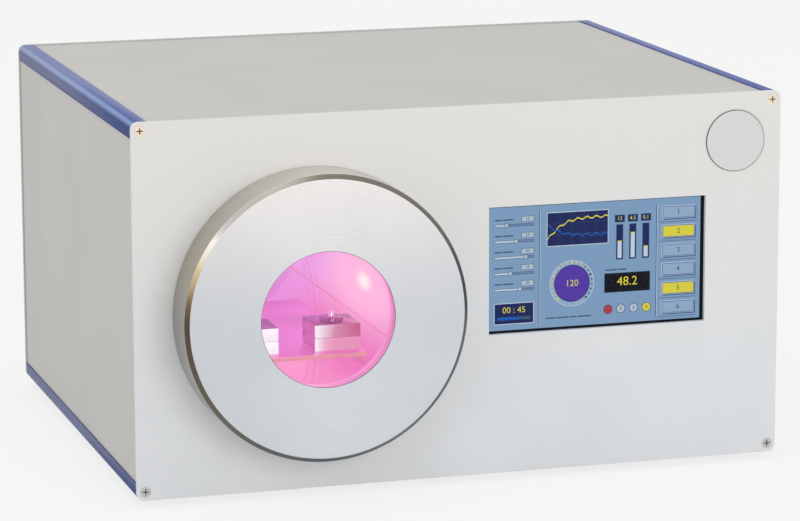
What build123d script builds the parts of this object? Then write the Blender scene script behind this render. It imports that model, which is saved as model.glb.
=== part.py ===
"""Bench plasma cleaner: a boxed vacuum chamber with a round pull-out door and a touch screen.

Millimetres, +Z up. The front faces -Y and +X is to its right. The origin lies on the ground
under the middle of the whole machine. Sizes below are counted from the case's left side, from
the front plate's outer face (depth) and from the underside of the case (height).
"""
import os
from math import cos, radians, sin

from build123d import *

os.makedirs("parts", exist_ok=True)

# Fits and small gaps
SLIP = 0.1            # sheet in its groove, screw in its hole
RUN = 0.05            # radial clearance of a shaft that slides or turns
SEAM = 0.3            # joint between neighbouring covers
SEAT = 0.2            # soft seal off the face that it presses on

# Front layout, from which the case takes its width and height
DOOR_X = 124.0        # door axis from the left side
DOOR_Z = 124.0        # door axis above the underside
ABOVE_DOOR = 133.0    # from the door axis to the top
SCREEN_GAP = 15.8     # from the chamber's flange to the screen opening
SCREEN_W = 157.6
SCREEN_RIGHT = 54.6   # from the screen opening to the right side
SCREEN_Z = 97.6
SCREEN_H = 88.6
BADGE_R = 21.5
BADGE_T = 0.8
BADGE_INSET = 33.5    # badge centre from the right side and from the top

# Case
PLATE_T = 3.0         # front and rear plates
PLATE_R = 5.0
SHEET_T = 2.0         # top, bottom and side sheets
SHEET_SET = 0.8       # sheets lie this far below the rails' faces
RAIL = 11.5
RAIL_R = 5.0
GROOVE_D = 4.0
FOOT_GAP = 5.0        # ground to the underside of the case
FOOT_R = 10.0
FOOT_INSET = 45.0
FOOT_POCKET_R = 5.5
FOOT_POCKET = 3.0

# Countersunk case screws
SCREW_INSET = 6.0
SCREW_R = 2.0
SCREW_HEAD_R = 3.7
SCREW_LEN = 16.0

# Door
DOOR_T = 36.2         # door face in front of the front plate
DOOR_CHAMFER = 3.0
DOOR_GAP = 0.3
WINDOW_R = 46.0
WINDOW_LIP = 4.0
GLASS_R = 52.0
GLASS_T = 8.0
RETAINER_R = 61.5
RETAINER_T = 6.0
RETAINER_BORE_R = 48.0
RETAINER_SCREWS = 6
RETAINER_SCREW_R = 1.5
RETAINER_HEAD_R = 2.7
SEAL_R = 1.6          # half the thickness of every O-ring

# Pull-out carriage
ROD_R = 4.0
ROD_FROM_TUBE = 9.5    # rod axis outside the tube
ROD_FROM_EDGE = 9.25   # rod axis inside the door's edge
ROD_ANGLE = 30.0      # each side of straight down
ROD_SET = 12.0        # how far the rods are screwed into the door
ROD_REACH = 290.0     # rod end behind the front face
BUSH_R = 5.5
BUSH_COLLAR_R = 7.0
BUSH_COLLAR_T = 1.5
TRAY_DROP_RATIO = 0.6   # tray's top below the door axis, to the tube's inner radius
TRAY_T = 3.0
TRAY_WIDTH_RATIO = 1.44 # tray's width, to the tube's inner radius
TRAY_FRONT = 55.0
TRAY_LEN = 185.0
TRAY_CORNER = 3.0
ARM_SCREW_R = 1.0
ARM_IN = 6.5          # arm's middle in from the tray's edge
ARM_T = 3.0
ARM_H = 6.0
ARM_FOOT_W = 11.0
ARM_FOOT_H = 10.0

# Specimen blocks on the tray
BLOCK_W = 33.0
BLOCK_L = 33.0
BLOCK_LOWER = 9.0     # height of the lower plate
BLOCK_REVEAL = 0.6    # height and depth of the groove between the plates
BLOCK_UPPER = 8.7     # height of the upper plate
BLOCK_BOSS_R = 8.3
BLOCK_BOSS_H = 2.5
BLOCK_FROM_EDGE = 11.0
BLOCK_PIN_R = 2.2
BLOCK_PIN_H = 3.5
BLOCK_FROM_SIDE = 2.5 # right block in from the tray's edge
BLOCK_PITCH = 59.0    # between the blocks' middles

# Chamber
TUBE_R = 79.0
TUBE_WALL = 4.0
TUBE_START = 6.3
TUBE_LEN = 297.5
TUBE_FIT = 0.3
FLANGE_OVER = 12.7     # flange's rim outside its boss
FLANGE_T = 10.0
BOSS_OVER = 1.3        # boss's edge outside the bushes
BOSS_GAP = 0.3
GLAND_START = 2.3     # seal gland from the tube's end
GLAND_W = 3.4
REAR_FLANGE_OVER = 9.0 # rear flange outside the tube
REAR_FLANGE_T = 14.0
SOCKET_D = 7.0        # depth of tube in the rear flange
ELECTRODE_T = 1.5
ELECTRODE_START = 90.0
ELECTRODE_END = 36.8  # electrodes end this far ahead of the rear flange
ELECTRODE_HALF = 68.0  # half of the angle that each electrode covers
CRADLE_START = 50.0
CRADLE_T = 12.0
CRADLE_SIDE = 17.75    # cradle's side outside the rods' axes
STAND_T = 3.0
STAND_W = 120.0
STAND_ABOVE = 30.0    # top of the rear stand above the door axis

# Vacuum line
REAR_SPACE = 72.0     # behind the rear flange, up to the rear plate
VALVE_R = 17.0
VALVE_LEN = 42.0
COIL_R = 18.0
COIL_H = 58.0
PORT_BORE_R = 12.0
PORT_R = 14.0
PORT_OUT = 24.0       # port flange beyond the rear plate
PORT_FLANGE_R = 20.0
PORT_FLANGE_T = 3.0
PORT_TAPER = 2.5
GAUGE_R = 11.0
GAUGE_LEN = 52.0
GAUGE_X = -46.0
GAUGE_UP = 44.0

# Screen and its board
GASKET_T = 0.8
GLASS_PLATE_T = 1.5
LCD_T = 6.5
LCD_OVER = 4.5        # module beyond the opening, each side
PAN_T = 1.5
PAN_GAP = 5.0         # module to the pan's wall
PAN_CUT = 20.0        # rim left round the pan's rear cut-out
BOARD_T = 1.6
BOARD_W = 146.0
BOARD_H = 86.0
POST_R = 2.5
POST_LEN = 9.0
POST_INSET = 5.0

# Electronics bay to the right of the chamber
BAY_GAP = 8.0
PIPE_ROOM = 12.8       # units end this far ahead of the rear flange
RF_W = 84.0
RF_L = 120.0
RF_H = 110.0
FIN_T = 2.0
FIN_H = 10.0
FINS = 7
MATCH_L = 76.0
MATCH_H = 88.0
UNIT_GAP = 8.0
SUPPLY_W = 96.0
SUPPLY_L = 160.0
SUPPLY_H = 42.0
WALL_GAP = 2.0         # right-hand units off the rail
STRAP_W = 12.0
STRAP_T = 1.5

# Gas lines
GAS_LINES = 3
GAS_PITCH = 34.0
GAS_FROM_RIGHT = 40.0
GAS_Z = 26.0
CONTROLLER_W = 26.0
CONTROLLER_BASE = 36.0
CONTROLLER_H = 108.0
CONTROLLER_LEN = 66.0
INLET_BORE_R = 3.05
INLET_BORE_D = 14.0
INLET_R = 6.0
INLET_NUT_R = 8.0
INLET_NUT_T = 6.0
INLET_OUT = 18.0
MANIFOLD_L = 18.0
PIPE_R = 3.0
PIPE_BEND = 10.0
PIPE_SIDE = 6.0       # riser beside the rear flange

# Mains inlet, switch and fan on the rear plate
INLET_X = 50.0
INLET_Z = 50.0
INLET_PLATE_W = 31.0
INLET_PLATE_H = 58.0
RIM_T = 2.5
INLET_BODY_W = 27.0
INLET_BODY_H = 50.0
INLET_BODY_D = 28.0
SOCKET_W = 24.0
SOCKET_H = 16.5
SOCKET_DEPTH = 17.0
SOCKET_DOWN = 11.0    # socket's middle below the inlet's middle
SOCKET_CORNER = 4.0
BLADE_PITCH = 7.0
BLADE_LIFT = 4.0
BLADE_W = 2.0
BLADE_H = 4.0
BLADE_L = 12.0
DRAWER_UP = 13.0
DRAWER_W = 20.0
DRAWER_H = 10.0
DRAWER_D = 22.0
DRAWER_LIP = 1.5
DRAWER_CLEAR = 0.3
SWITCH_Z = 118.0
SWITCH_PLATE_W = 21.0
SWITCH_PLATE_H = 31.0
SWITCH_BODY_W = 18.6
SWITCH_BODY_H = 27.6
SWITCH_BODY_D = 18.0
ROCKER_W = 14.0
ROCKER_HALF = 10.5
ROCKER_RISE = 7.0
ROCKER_DIP = 5.4
ROCKER_BELOW = 2.0
ROCKER_PIN_R = 1.5
ROCKER_TILT = 8.0
ROCKER_SPACE = 1.4    # cavity beyond the rocker's ends
ROCKER_SIDE = 0.4
FAN_FROM_RIGHT = 62.0
FAN_FROM_TOP = 62.0
FAN_SIZE = 60.0
FAN_T = 15.0
FAN_BORE_R = 28.5
FAN_TIP_GAP = 1.2
HUB_R = 12.0
HUB_T = 8.0
MOTOR_T = 2.5
STRUT_W = 4.0
SHAFT_R = 1.5
BLADES = 7
FAN_BLADE_T = 1.2
FAN_BLADE_PITCH = 38.0
FAN_BLADE_CHORD = 11.0
SLOT_W = 4.0
SLOT_PITCH = 7.4
SLOTS = 7

# Sizes that follow
TUBE_IN_R = TUBE_R - TUBE_WALL
TRAY_W = TRAY_WIDTH_RATIO * TUBE_IN_R
ARM_X = TRAY_W / 2 - ARM_IN
RIGHT_BLOCK_X = TRAY_W / 2 - BLOCK_FROM_SIDE - BLOCK_W / 2     # from the door axis
LEFT_BLOCK_X = RIGHT_BLOCK_X - BLOCK_PITCH
ROD_FROM_AXIS = TUBE_R + ROD_FROM_TUBE
ROD_X = ROD_FROM_AXIS * sin(radians(ROD_ANGLE))
DOOR_R = ROD_FROM_AXIS + ROD_FROM_EDGE
DOOR_SEAL_R = (TUBE_IN_R + ROD_FROM_AXIS - BUSH_R) / 2         # between the tube and the bushes
BOSS_R = ROD_FROM_AXIS + BUSH_R + BOSS_OVER
FLANGE_R = BOSS_R + FLANGE_OVER
REAR_FLANGE_R = TUBE_R + REAR_FLANGE_OVER
SCREEN_X = DOOR_X + FLANGE_R + SCREEN_GAP
CASE_W = SCREEN_X + SCREEN_W + SCREEN_RIGHT
CASE_H = DOOR_Z + ABOVE_DOOR
REAR_FACE = TUBE_START + TUBE_LEN - SOCKET_D + REAR_FLANGE_T   # back of the rear flange
REAR_START = REAR_FACE - REAR_FLANGE_T
BACK_IN = REAR_FACE + REAR_SPACE                               # inner face of the rear plate
CASE_D = BACK_IN + PLATE_T
MID_Y = (CASE_D + PORT_OUT - DOOR_T) / 2
FLOOR = SHEET_SET + SLIP + SHEET_T                             # inner face of the bottom sheet
UNIT_START = REAR_START - PIPE_ROOM - MATCH_L - UNIT_GAP - RF_L
GLAND_R = TUBE_R + 2 * SEAL_R + SLIP
BAY_X = DOOR_X + REAR_FLANGE_R + 2 * PIPE_SIDE + BAY_GAP
ROD_PLACES = [
    (DOOR_X + side * ROD_X, DOOR_Z - ROD_FROM_AXIS * cos(radians(ROD_ANGLE)))
    for side in (-1, 1)
]
SCREW_PLACES = [
    (x, z)
    for x in (SCREW_INSET, CASE_W - SCREW_INSET)
    for z in (SCREW_INSET, CASE_H - SCREW_INSET)
]
FOOT_PLACES = [
    (x, y)
    for x in (FOOT_INSET, CASE_W - FOOT_INSET)
    for y in (FOOT_INSET, CASE_D - FOOT_INSET)
]
LOW = (Align.MIN, Align.MIN)


def front_view(depth):
    """Plane facing the front; local x and y count from the case's left and underside."""
    return Plane(origin=(-CASE_W / 2, depth - MID_Y, FOOT_GAP), x_dir=(1, 0, 0), z_dir=(0, -1, 0))


def plan_view(height):
    """Plane facing up; local x and y count from the left side and the front face."""
    return Plane(origin=(-CASE_W / 2, -MID_Y, FOOT_GAP + height), x_dir=(1, 0, 0), z_dir=(0, 0, 1))


def side_view(x):
    """Plane facing right; local x and y count from the front face and the underside."""
    return Plane(origin=(x - CASE_W / 2, -MID_Y, FOOT_GAP), x_dir=(0, 1, 0), z_dir=(1, 0, 0))


def turned_view(x, z):
    """Half-section of a part turned about an axis along the depth; x is the radius, y the depth."""
    origin = (x - CASE_W / 2, -MID_Y, FOOT_GAP + z)
    return Plane(origin=origin, x_dir=(1, 0, 0), z_dir=(0, 0, 1)), Axis(origin, (0, 1, 0))


DOOR_SECTION, DOOR_AXIS = turned_view(DOOR_X, DOOR_Z)


def turn(points, section=DOOR_SECTION, axis=DOOR_AXIS, mode=Mode.ADD):
    """Revolve a closed half-section into the part being built."""
    with BuildSketch(section) as profile:
        with BuildLine():
            Polyline(*points, close=True)
        make_face()
    revolve(profile.sketch, axis=axis, mode=mode)


def block(corner, size, mode=Mode.ADD):
    """Box from its left, front, lower corner and its width, depth and height."""
    with BuildSketch(plan_view(corner[2])) as outline:
        with Locations(corner[:2]):
            Rectangle(size[0], size[1], align=LOW)
    extrude(outline.sketch, amount=size[2], mode=mode)


def bar(depth, length, places, radius, mode=Mode.ADD):
    """Round bars along the depth, from their front end."""
    with BuildSketch(front_view(depth)) as outline:
        with Locations(*places):
            Circle(radius)
    extrude(outline.sketch, amount=-length, mode=mode)


def post(height, length, places, radius, mode=Mode.ADD):
    """Upright round bars, from their lower end."""
    with BuildSketch(plan_view(height)) as outline:
        with Locations(*places):
            Circle(radius)
    extrude(outline.sketch, amount=length, mode=mode)


def slab(depth, length, centre, size, corner=0.0, mode=Mode.ADD):
    """Plate that faces the front, rounded at its corners where a radius is given."""
    with BuildSketch(front_view(depth)) as outline:
        with Locations(centre):
            if corner:
                RectangleRounded(*size, corner)
            else:
                Rectangle(*size)
    extrude(outline.sketch, amount=-length, mode=mode)


def ring_seal(radius, depth):
    """O-ring about the door axis."""
    with BuildSketch(DOOR_SECTION) as section:
        with Locations((radius, depth)):
            Circle(SEAL_R)
    revolve(section.sketch, axis=DOOR_AXIS)


def save(piece, label):
    piece.part.label = label
    export_step(piece.part, f"parts/{label}.step")


# Case: front and rear plates

HEAD_DEPTH = SCREW_HEAD_R - SCREW_R    # a 90 degree head


def screw_holes():
    """Countersunk holes at the plate's corners, sunk from the front."""
    with Locations(front_view(0)):
        with Locations(*SCREW_PLACES):
            CounterSinkHole(SCREW_R + SLIP, SCREW_HEAD_R + SLIP, PLATE_T, counter_sink_angle=90)


def rear_screw_holes():
    """Countersunk holes sunk from behind."""
    for x, z in SCREW_PLACES:
        turn(
            [
                (0, BACK_IN), (SCREW_R + SLIP, BACK_IN), (SCREW_R + SLIP, CASE_D - HEAD_DEPTH),
                (SCREW_HEAD_R + SLIP, CASE_D), (0, CASE_D),
            ],
            *turned_view(x, z),
            Mode.SUBTRACT,
        )


PLATE_MIDDLE = (CASE_W / 2, CASE_H / 2)
SCREEN_MIDDLE = (SCREEN_X + SCREEN_W / 2, SCREEN_Z + SCREEN_H / 2)
DOOR_MIDDLE = (DOOR_X, DOOR_Z)
PORT_HOLE_R = PORT_R + SEAM
GAS_PLACES = [(CASE_W - GAS_FROM_RIGHT - i * GAS_PITCH, GAS_Z) for i in range(GAS_LINES)]
INLET_MIDDLE = (INLET_X, INLET_Z)
SWITCH_MIDDLE = (INLET_X, SWITCH_Z)
FAN_X = CASE_W - FAN_FROM_RIGHT
FAN_Z = CASE_H - FAN_FROM_TOP

with BuildPart() as front_panel:
    slab(0, PLATE_T, PLATE_MIDDLE, (CASE_W, CASE_H), PLATE_R)
    bar(0, PLATE_T, [DOOR_MIDDLE], BOSS_R + BOSS_GAP, Mode.SUBTRACT)
    slab(0, PLATE_T, SCREEN_MIDDLE, (SCREEN_W, SCREEN_H), mode=Mode.SUBTRACT)
    screw_holes()
save(front_panel, "front_panel")

with BuildPart() as badge_blank:
    bar(-BADGE_T, BADGE_T, [(CASE_W - BADGE_INSET, CASE_H - BADGE_INSET)], BADGE_R)
save(badge_blank, "badge_blank")

with BuildPart() as rear_panel:
    slab(BACK_IN, PLATE_T, PLATE_MIDDLE, (CASE_W, CASE_H), PLATE_R)
    rear_screw_holes()
    bar(BACK_IN, PLATE_T, [DOOR_MIDDLE], PORT_HOLE_R, Mode.SUBTRACT)
    bar(BACK_IN, PLATE_T, GAS_PLACES, INLET_R + SLIP, Mode.SUBTRACT)
    slab(BACK_IN, PLATE_T, INLET_MIDDLE, (INLET_BODY_W + SEAM, INLET_BODY_H + SEAM), mode=Mode.SUBTRACT)
    slab(BACK_IN, PLATE_T, SWITCH_MIDDLE, (SWITCH_BODY_W + SEAM, SWITCH_BODY_H + SEAM), mode=Mode.SUBTRACT)
    with BuildSketch(front_view(BACK_IN)):
        for i in range(SLOTS):
            off = (i - (SLOTS - 1) / 2) * SLOT_PITCH
            reach = (FAN_BORE_R ** 2 - (abs(off) + SLOT_W / 2) ** 2) ** 0.5
            with Locations((FAN_X + off, FAN_Z)):
                SlotOverall(2 * reach, SLOT_W, rotation=90)
    extrude(amount=-PLATE_T, mode=Mode.SUBTRACT)
save(rear_panel, "rear_panel")

# Corner rails: one profile, turned into each corner

RAIL_PLACES = {
    "rail_bottom_left": ((0, 0), (1, 0, 0)),
    "rail_bottom_right": ((CASE_W, 0), (0, 0, 1)),
    "rail_top_right": ((CASE_W, CASE_H), (-1, 0, 0)),
    "rail_top_left": ((0, CASE_H), (0, 0, -1)),
}
GROOVE_W = SHEET_T + 2 * SLIP

for label, ((x, z), inward) in RAIL_PLACES.items():
    corner = Plane(
        origin=(x - CASE_W / 2, PLATE_T - MID_Y, z + FOOT_GAP), x_dir=inward, z_dir=(0, -1, 0)
    )
    with BuildPart() as rail:
        with BuildSketch(corner):
            Rectangle(RAIL, RAIL, align=LOW)
            fillet(vertices().sort_by_distance((0, 0))[0], RAIL_R)
            with Locations((SHEET_SET, RAIL - GROOVE_D)):
                Rectangle(GROOVE_W, GROOVE_D, align=LOW, mode=Mode.SUBTRACT)
            with Locations((RAIL - GROOVE_D, SHEET_SET)):
                Rectangle(GROOVE_D, GROOVE_W, align=LOW, mode=Mode.SUBTRACT)
            with Locations((SCREW_INSET, SCREW_INSET)):
                Circle(SCREW_R + SLIP, mode=Mode.SUBTRACT)
        extrude(amount=PLATE_T - BACK_IN)
    save(rail, label)

# Sheets that slide in the rails' grooves

SHEET_START = PLATE_T + SLIP
SHEET_LEN = BACK_IN - SHEET_START - SLIP
SHEET_IN = RAIL - GROOVE_D + SEAM
SHEET_LOW = SHEET_SET + SLIP

with BuildPart() as bottom_panel:
    block((SHEET_IN, SHEET_START, SHEET_LOW), (CASE_W - 2 * SHEET_IN, SHEET_LEN, SHEET_T))
    post(SHEET_LOW, SHEET_T, FOOT_PLACES, SCREW_R + SLIP, Mode.SUBTRACT)
save(bottom_panel, "bottom_panel")

with BuildPart() as top_panel:
    block(
        (SHEET_IN, SHEET_START, CASE_H - SHEET_LOW - SHEET_T),
        (CASE_W - 2 * SHEET_IN, SHEET_LEN, SHEET_T),
    )
save(top_panel, "top_panel")

for label, x in {"left_panel": SHEET_LOW, "right_panel": CASE_W - SHEET_LOW - SHEET_T}.items():
    with BuildPart() as side_panel:
        block((x, SHEET_START, SHEET_IN), (SHEET_T, SHEET_LEN, CASE_H - 2 * SHEET_IN))
    save(side_panel, label)


# Screws

def case_screws(outer, inward):
    """Four countersunk screws whose heads lie flush in a plate; inward is 1 or -1 along the depth."""
    for x, z in SCREW_PLACES:
        turn(
            [
                (0, outer), (SCREW_HEAD_R, outer), (SCREW_R, outer + inward * HEAD_DEPTH),
                (SCREW_R, outer + inward * SCREW_LEN), (0, outer + inward * SCREW_LEN),
            ],
            *turned_view(x, z),
        )


with BuildPart() as front_screws:
    case_screws(0, 1)
save(front_screws, "front_screws")

with BuildPart() as rear_screws:
    case_screws(CASE_D, -1)
save(rear_screws, "rear_screws")

# Rubber feet, each held by a screw up into the bottom sheet

FOOT_H = FOOT_GAP + SHEET_LOW

with BuildPart() as feet:
    post(-FOOT_GAP, FOOT_H, FOOT_PLACES, FOOT_R)
    post(-FOOT_GAP, FOOT_POCKET, FOOT_PLACES, FOOT_POCKET_R, Mode.SUBTRACT)
    post(-FOOT_GAP, FOOT_H, FOOT_PLACES, SCREW_R + SLIP, Mode.SUBTRACT)
save(feet, "feet")

with BuildPart() as foot_screws:
    post(FOOT_POCKET - FOOT_GAP - SHEET_T, SHEET_T, FOOT_PLACES, SCREW_HEAD_R)
    post(FOOT_POCKET - FOOT_GAP, FLOOR + FOOT_GAP - FOOT_POCKET, FOOT_PLACES, SCREW_R)
save(foot_screws, "foot_screws")

# Door: a turned cup with a window, closed from behind by a screwed ring

GLASS_START = WINDOW_LIP - DOOR_T
RETAINER_START = GLASS_START + GLASS_T + SLIP
RETAINER_SCREW_PLACES = [
    (
        DOOR_X + (GLASS_R + RETAINER_R) / 2 * cos(radians(i * 360 / RETAINER_SCREWS)),
        DOOR_Z + (GLASS_R + RETAINER_R) / 2 * sin(radians(i * 360 / RETAINER_SCREWS)),
    )
    for i in range(RETAINER_SCREWS)
]
RETAINER_SCREW_LEN = RETAINER_T + WINDOW_LIP
SEAL_GROOVE_D = 2 * SEAL_R - DOOR_GAP + SEAT

with BuildPart() as door_ring:
    turn([
        (WINDOW_R, -DOOR_T), (DOOR_R - DOOR_CHAMFER, -DOOR_T), (DOOR_R, DOOR_CHAMFER - DOOR_T),
        (DOOR_R, -DOOR_GAP), (RETAINER_R + SLIP, -DOOR_GAP), (RETAINER_R + SLIP, RETAINER_START),
        (GLASS_R + SLIP, RETAINER_START), (GLASS_R + SLIP, GLASS_START), (WINDOW_R, GLASS_START),
    ])
    with BuildSketch(front_view(-DOOR_GAP)):
        with Locations(DOOR_MIDDLE):
            Circle(DOOR_SEAL_R + SEAL_R + SLIP)
            Circle(DOOR_SEAL_R - SEAL_R - SLIP, mode=Mode.SUBTRACT)
    extrude(amount=SEAL_GROOVE_D, mode=Mode.SUBTRACT)
    bar(-DOOR_GAP - ROD_SET, ROD_SET, ROD_PLACES, ROD_R + SLIP, Mode.SUBTRACT)
    bar(
        RETAINER_START - WINDOW_LIP, WINDOW_LIP, RETAINER_SCREW_PLACES,
        RETAINER_SCREW_R + SLIP, Mode.SUBTRACT,
    )
save(door_ring, "door_ring")

with BuildPart() as window_glass:
    bar(GLASS_START, GLASS_T, [DOOR_MIDDLE], GLASS_R)
save(window_glass, "window_glass")

with BuildPart() as window_retainer:
    turn([
        (RETAINER_BORE_R, RETAINER_START), (RETAINER_R, RETAINER_START),
        (RETAINER_R, RETAINER_START + RETAINER_T), (RETAINER_BORE_R, RETAINER_START + RETAINER_T),
    ])
    bar(RETAINER_START, RETAINER_T, RETAINER_SCREW_PLACES, RETAINER_SCREW_R + SLIP, Mode.SUBTRACT)
save(window_retainer, "window_retainer")

with BuildPart() as retainer_screws:
    bar(
        RETAINER_START - WINDOW_LIP + SLIP, RETAINER_SCREW_LEN - SLIP, RETAINER_SCREW_PLACES,
        RETAINER_SCREW_R,
    )
    bar(RETAINER_START + RETAINER_T, RETAINER_SCREW_R, RETAINER_SCREW_PLACES, RETAINER_HEAD_R)
save(retainer_screws, "retainer_screws")

with BuildPart() as door_seal:
    ring_seal(DOOR_SEAL_R, -SEAT + DOOR_GAP / 3 - SEAL_R)
save(door_seal, "door_seal")

# Carriage behind the door: two guide rods, two arms and the tray with its blocks

with BuildPart() as guide_rods:
    bar(-DOOR_GAP - ROD_SET, ROD_REACH + DOOR_GAP + ROD_SET, ROD_PLACES, ROD_R)
    chamfer(edges().group_by(Axis.Y)[-1], ROD_R / 4)
save(guide_rods, "guide_rods")

TRAY_TOP = DOOR_Z - TRAY_DROP_RATIO * TUBE_IN_R
ARM_TOP = TRAY_TOP - TRAY_T
TRAY_SCREW_PLACES = [
    (DOOR_X + i * ARM_X, TRAY_FRONT + j * TRAY_LEN / 3) for i in (-1, 1) for j in (1, 2)
]

with BuildPart() as tray_arms:
    for side in (-1, 1):
        middle = DOOR_X + side * ARM_X
        block(
            (middle - ARM_T / 2, -DOOR_GAP, ARM_TOP - ARM_H),
            (ARM_T, TRAY_FRONT + TRAY_LEN + DOOR_GAP, ARM_H),
        )
        foot = middle - ARM_T / 2 if side < 0 else middle + ARM_T / 2 - ARM_FOOT_W
        block((foot, -DOOR_GAP, ARM_TOP - ARM_H), (ARM_FOOT_W, ARM_T, ARM_FOOT_H))
    post(ARM_TOP - ARM_H / 2, ARM_H / 2, TRAY_SCREW_PLACES, ARM_SCREW_R + SLIP, Mode.SUBTRACT)
save(tray_arms, "tray_arms")

with BuildPart() as sample_tray:
    block((DOOR_X - TRAY_W / 2, TRAY_FRONT, ARM_TOP), (TRAY_W, TRAY_LEN, TRAY_T))
    fillet(edges().filter_by(Axis.Z), TRAY_CORNER)
    post(ARM_TOP, TRAY_T, TRAY_SCREW_PLACES, ARM_SCREW_R + SLIP, Mode.SUBTRACT)
save(sample_tray, "sample_tray")

with BuildPart() as tray_screws:
    post(ARM_TOP - ARM_H / 2, TRAY_T + ARM_H / 2, TRAY_SCREW_PLACES, ARM_SCREW_R)
    post(TRAY_TOP, ARM_SCREW_R, TRAY_SCREW_PLACES, 2 * ARM_SCREW_R)
save(tray_screws, "tray_screws")


def specimen_block(middle):
    """Two metal plates with a thin groove between them, and a boss and pin on top."""
    left = middle - BLOCK_W / 2
    front = TRAY_FRONT + BLOCK_FROM_EDGE
    upper = TRAY_TOP + BLOCK_LOWER + BLOCK_REVEAL
    top = upper + BLOCK_UPPER
    block((left, front, TRAY_TOP), (BLOCK_W, BLOCK_L, BLOCK_LOWER))
    block(
        (left + BLOCK_REVEAL, front + BLOCK_REVEAL, TRAY_TOP + BLOCK_LOWER),
        (BLOCK_W - 2 * BLOCK_REVEAL, BLOCK_L - 2 * BLOCK_REVEAL, BLOCK_REVEAL),
    )
    block((left, front, upper), (BLOCK_W, BLOCK_L, BLOCK_UPPER))
    pin = (middle, front + BLOCK_L / 2)
    post(top, BLOCK_BOSS_H, [pin], BLOCK_BOSS_R)
    post(top + BLOCK_BOSS_H, BLOCK_PIN_H, [pin], BLOCK_PIN_R)


with BuildPart() as specimen_blocks:
    specimen_block(DOOR_X + LEFT_BLOCK_X)
    specimen_block(DOOR_X + RIGHT_BLOCK_X)
save(specimen_blocks, "specimen_blocks")

# Chamber: quartz tube between a front flange behind the door and a rear flange

TUBE_END = TUBE_START + TUBE_LEN
FLANGE_BACK = PLATE_T + FLANGE_T

with BuildPart() as chamber_flange:
    turn([
        (TUBE_IN_R, 0), (BOSS_R, 0), (BOSS_R, PLATE_T), (FLANGE_R, PLATE_T),
        (FLANGE_R, FLANGE_BACK), (TUBE_R + TUBE_FIT, FLANGE_BACK),
        (TUBE_R + TUBE_FIT, TUBE_START + GLAND_START + GLAND_W),
        (GLAND_R, TUBE_START + GLAND_START + GLAND_W), (GLAND_R, TUBE_START + GLAND_START),
        (TUBE_R + TUBE_FIT, TUBE_START + GLAND_START), (TUBE_R + TUBE_FIT, TUBE_START - TUBE_FIT),
        (TUBE_IN_R, TUBE_START - TUBE_FIT),
    ])
    bar(0, FLANGE_BACK, ROD_PLACES, BUSH_R + SLIP, Mode.SUBTRACT)
save(chamber_flange, "chamber_flange")

with BuildPart() as quartz_tube:
    turn([
        (TUBE_IN_R, TUBE_START), (TUBE_R, TUBE_START), (TUBE_R, TUBE_END), (TUBE_IN_R, TUBE_END),
    ])
save(quartz_tube, "quartz_tube")

with BuildPart() as tube_seals:
    ring_seal(TUBE_R + SEAL_R + SLIP / 2, TUBE_START + GLAND_START + GLAND_W / 2)
    ring_seal(TUBE_R + SEAL_R + SLIP / 2, TUBE_END - GLAND_START - GLAND_W / 2)
save(tube_seals, "tube_seals")

with BuildPart() as rear_flange:
    turn([
        (PORT_BORE_R, TUBE_END + TUBE_FIT), (TUBE_R + TUBE_FIT, TUBE_END + TUBE_FIT),
        (TUBE_R + TUBE_FIT, TUBE_END - GLAND_START), (GLAND_R, TUBE_END - GLAND_START),
        (GLAND_R, TUBE_END - GLAND_START - GLAND_W),
        (TUBE_R + TUBE_FIT, TUBE_END - GLAND_START - GLAND_W), (TUBE_R + TUBE_FIT, REAR_START),
        (REAR_FLANGE_R, REAR_START), (REAR_FLANGE_R, REAR_FACE), (PORT_BORE_R, REAR_FACE),
    ])
save(rear_flange, "rear_flange")

with BuildPart() as guide_bushes:
    for start, end in ((SEAM, FLANGE_BACK), (CRADLE_START, CRADLE_START + CRADLE_T)):
        bar(start, end - start, ROD_PLACES, BUSH_R)
        bar(end, BUSH_COLLAR_T, ROD_PLACES, BUSH_COLLAR_R)
        bar(start, end - start + BUSH_COLLAR_T, ROD_PLACES, ROD_R + RUN, Mode.SUBTRACT)
save(guide_bushes, "guide_bushes")

with BuildPart() as front_cradle:
    with BuildSketch(front_view(CRADLE_START)):
        with Locations((DOOR_X - ROD_X - CRADLE_SIDE, FLOOR)):
            Rectangle(2 * (ROD_X + CRADLE_SIDE), DOOR_Z - FLOOR, align=LOW)
        with Locations(DOOR_MIDDLE):
            Circle(TUBE_R + TUBE_FIT, mode=Mode.SUBTRACT)
        with Locations(*ROD_PLACES):
            Circle(BUSH_R + SLIP, mode=Mode.SUBTRACT)
    extrude(amount=-CRADLE_T)
save(front_cradle, "front_cradle")

with BuildPart() as rear_stand:
    with BuildSketch(front_view(REAR_FACE)):
        with Locations((DOOR_X - STAND_W / 2, FLOOR)):
            Rectangle(STAND_W, DOOR_Z + STAND_ABOVE - FLOOR, align=LOW)
        with Locations(DOOR_MIDDLE):
            Circle(VALVE_R + SEAM, mode=Mode.SUBTRACT)
    extrude(amount=-STAND_T)
    block((DOOR_X - STAND_W / 2, REAR_FACE + STAND_T, FLOOR), (STAND_W, 4 * STAND_T, STAND_T))
save(rear_stand, "rear_stand")

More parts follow.
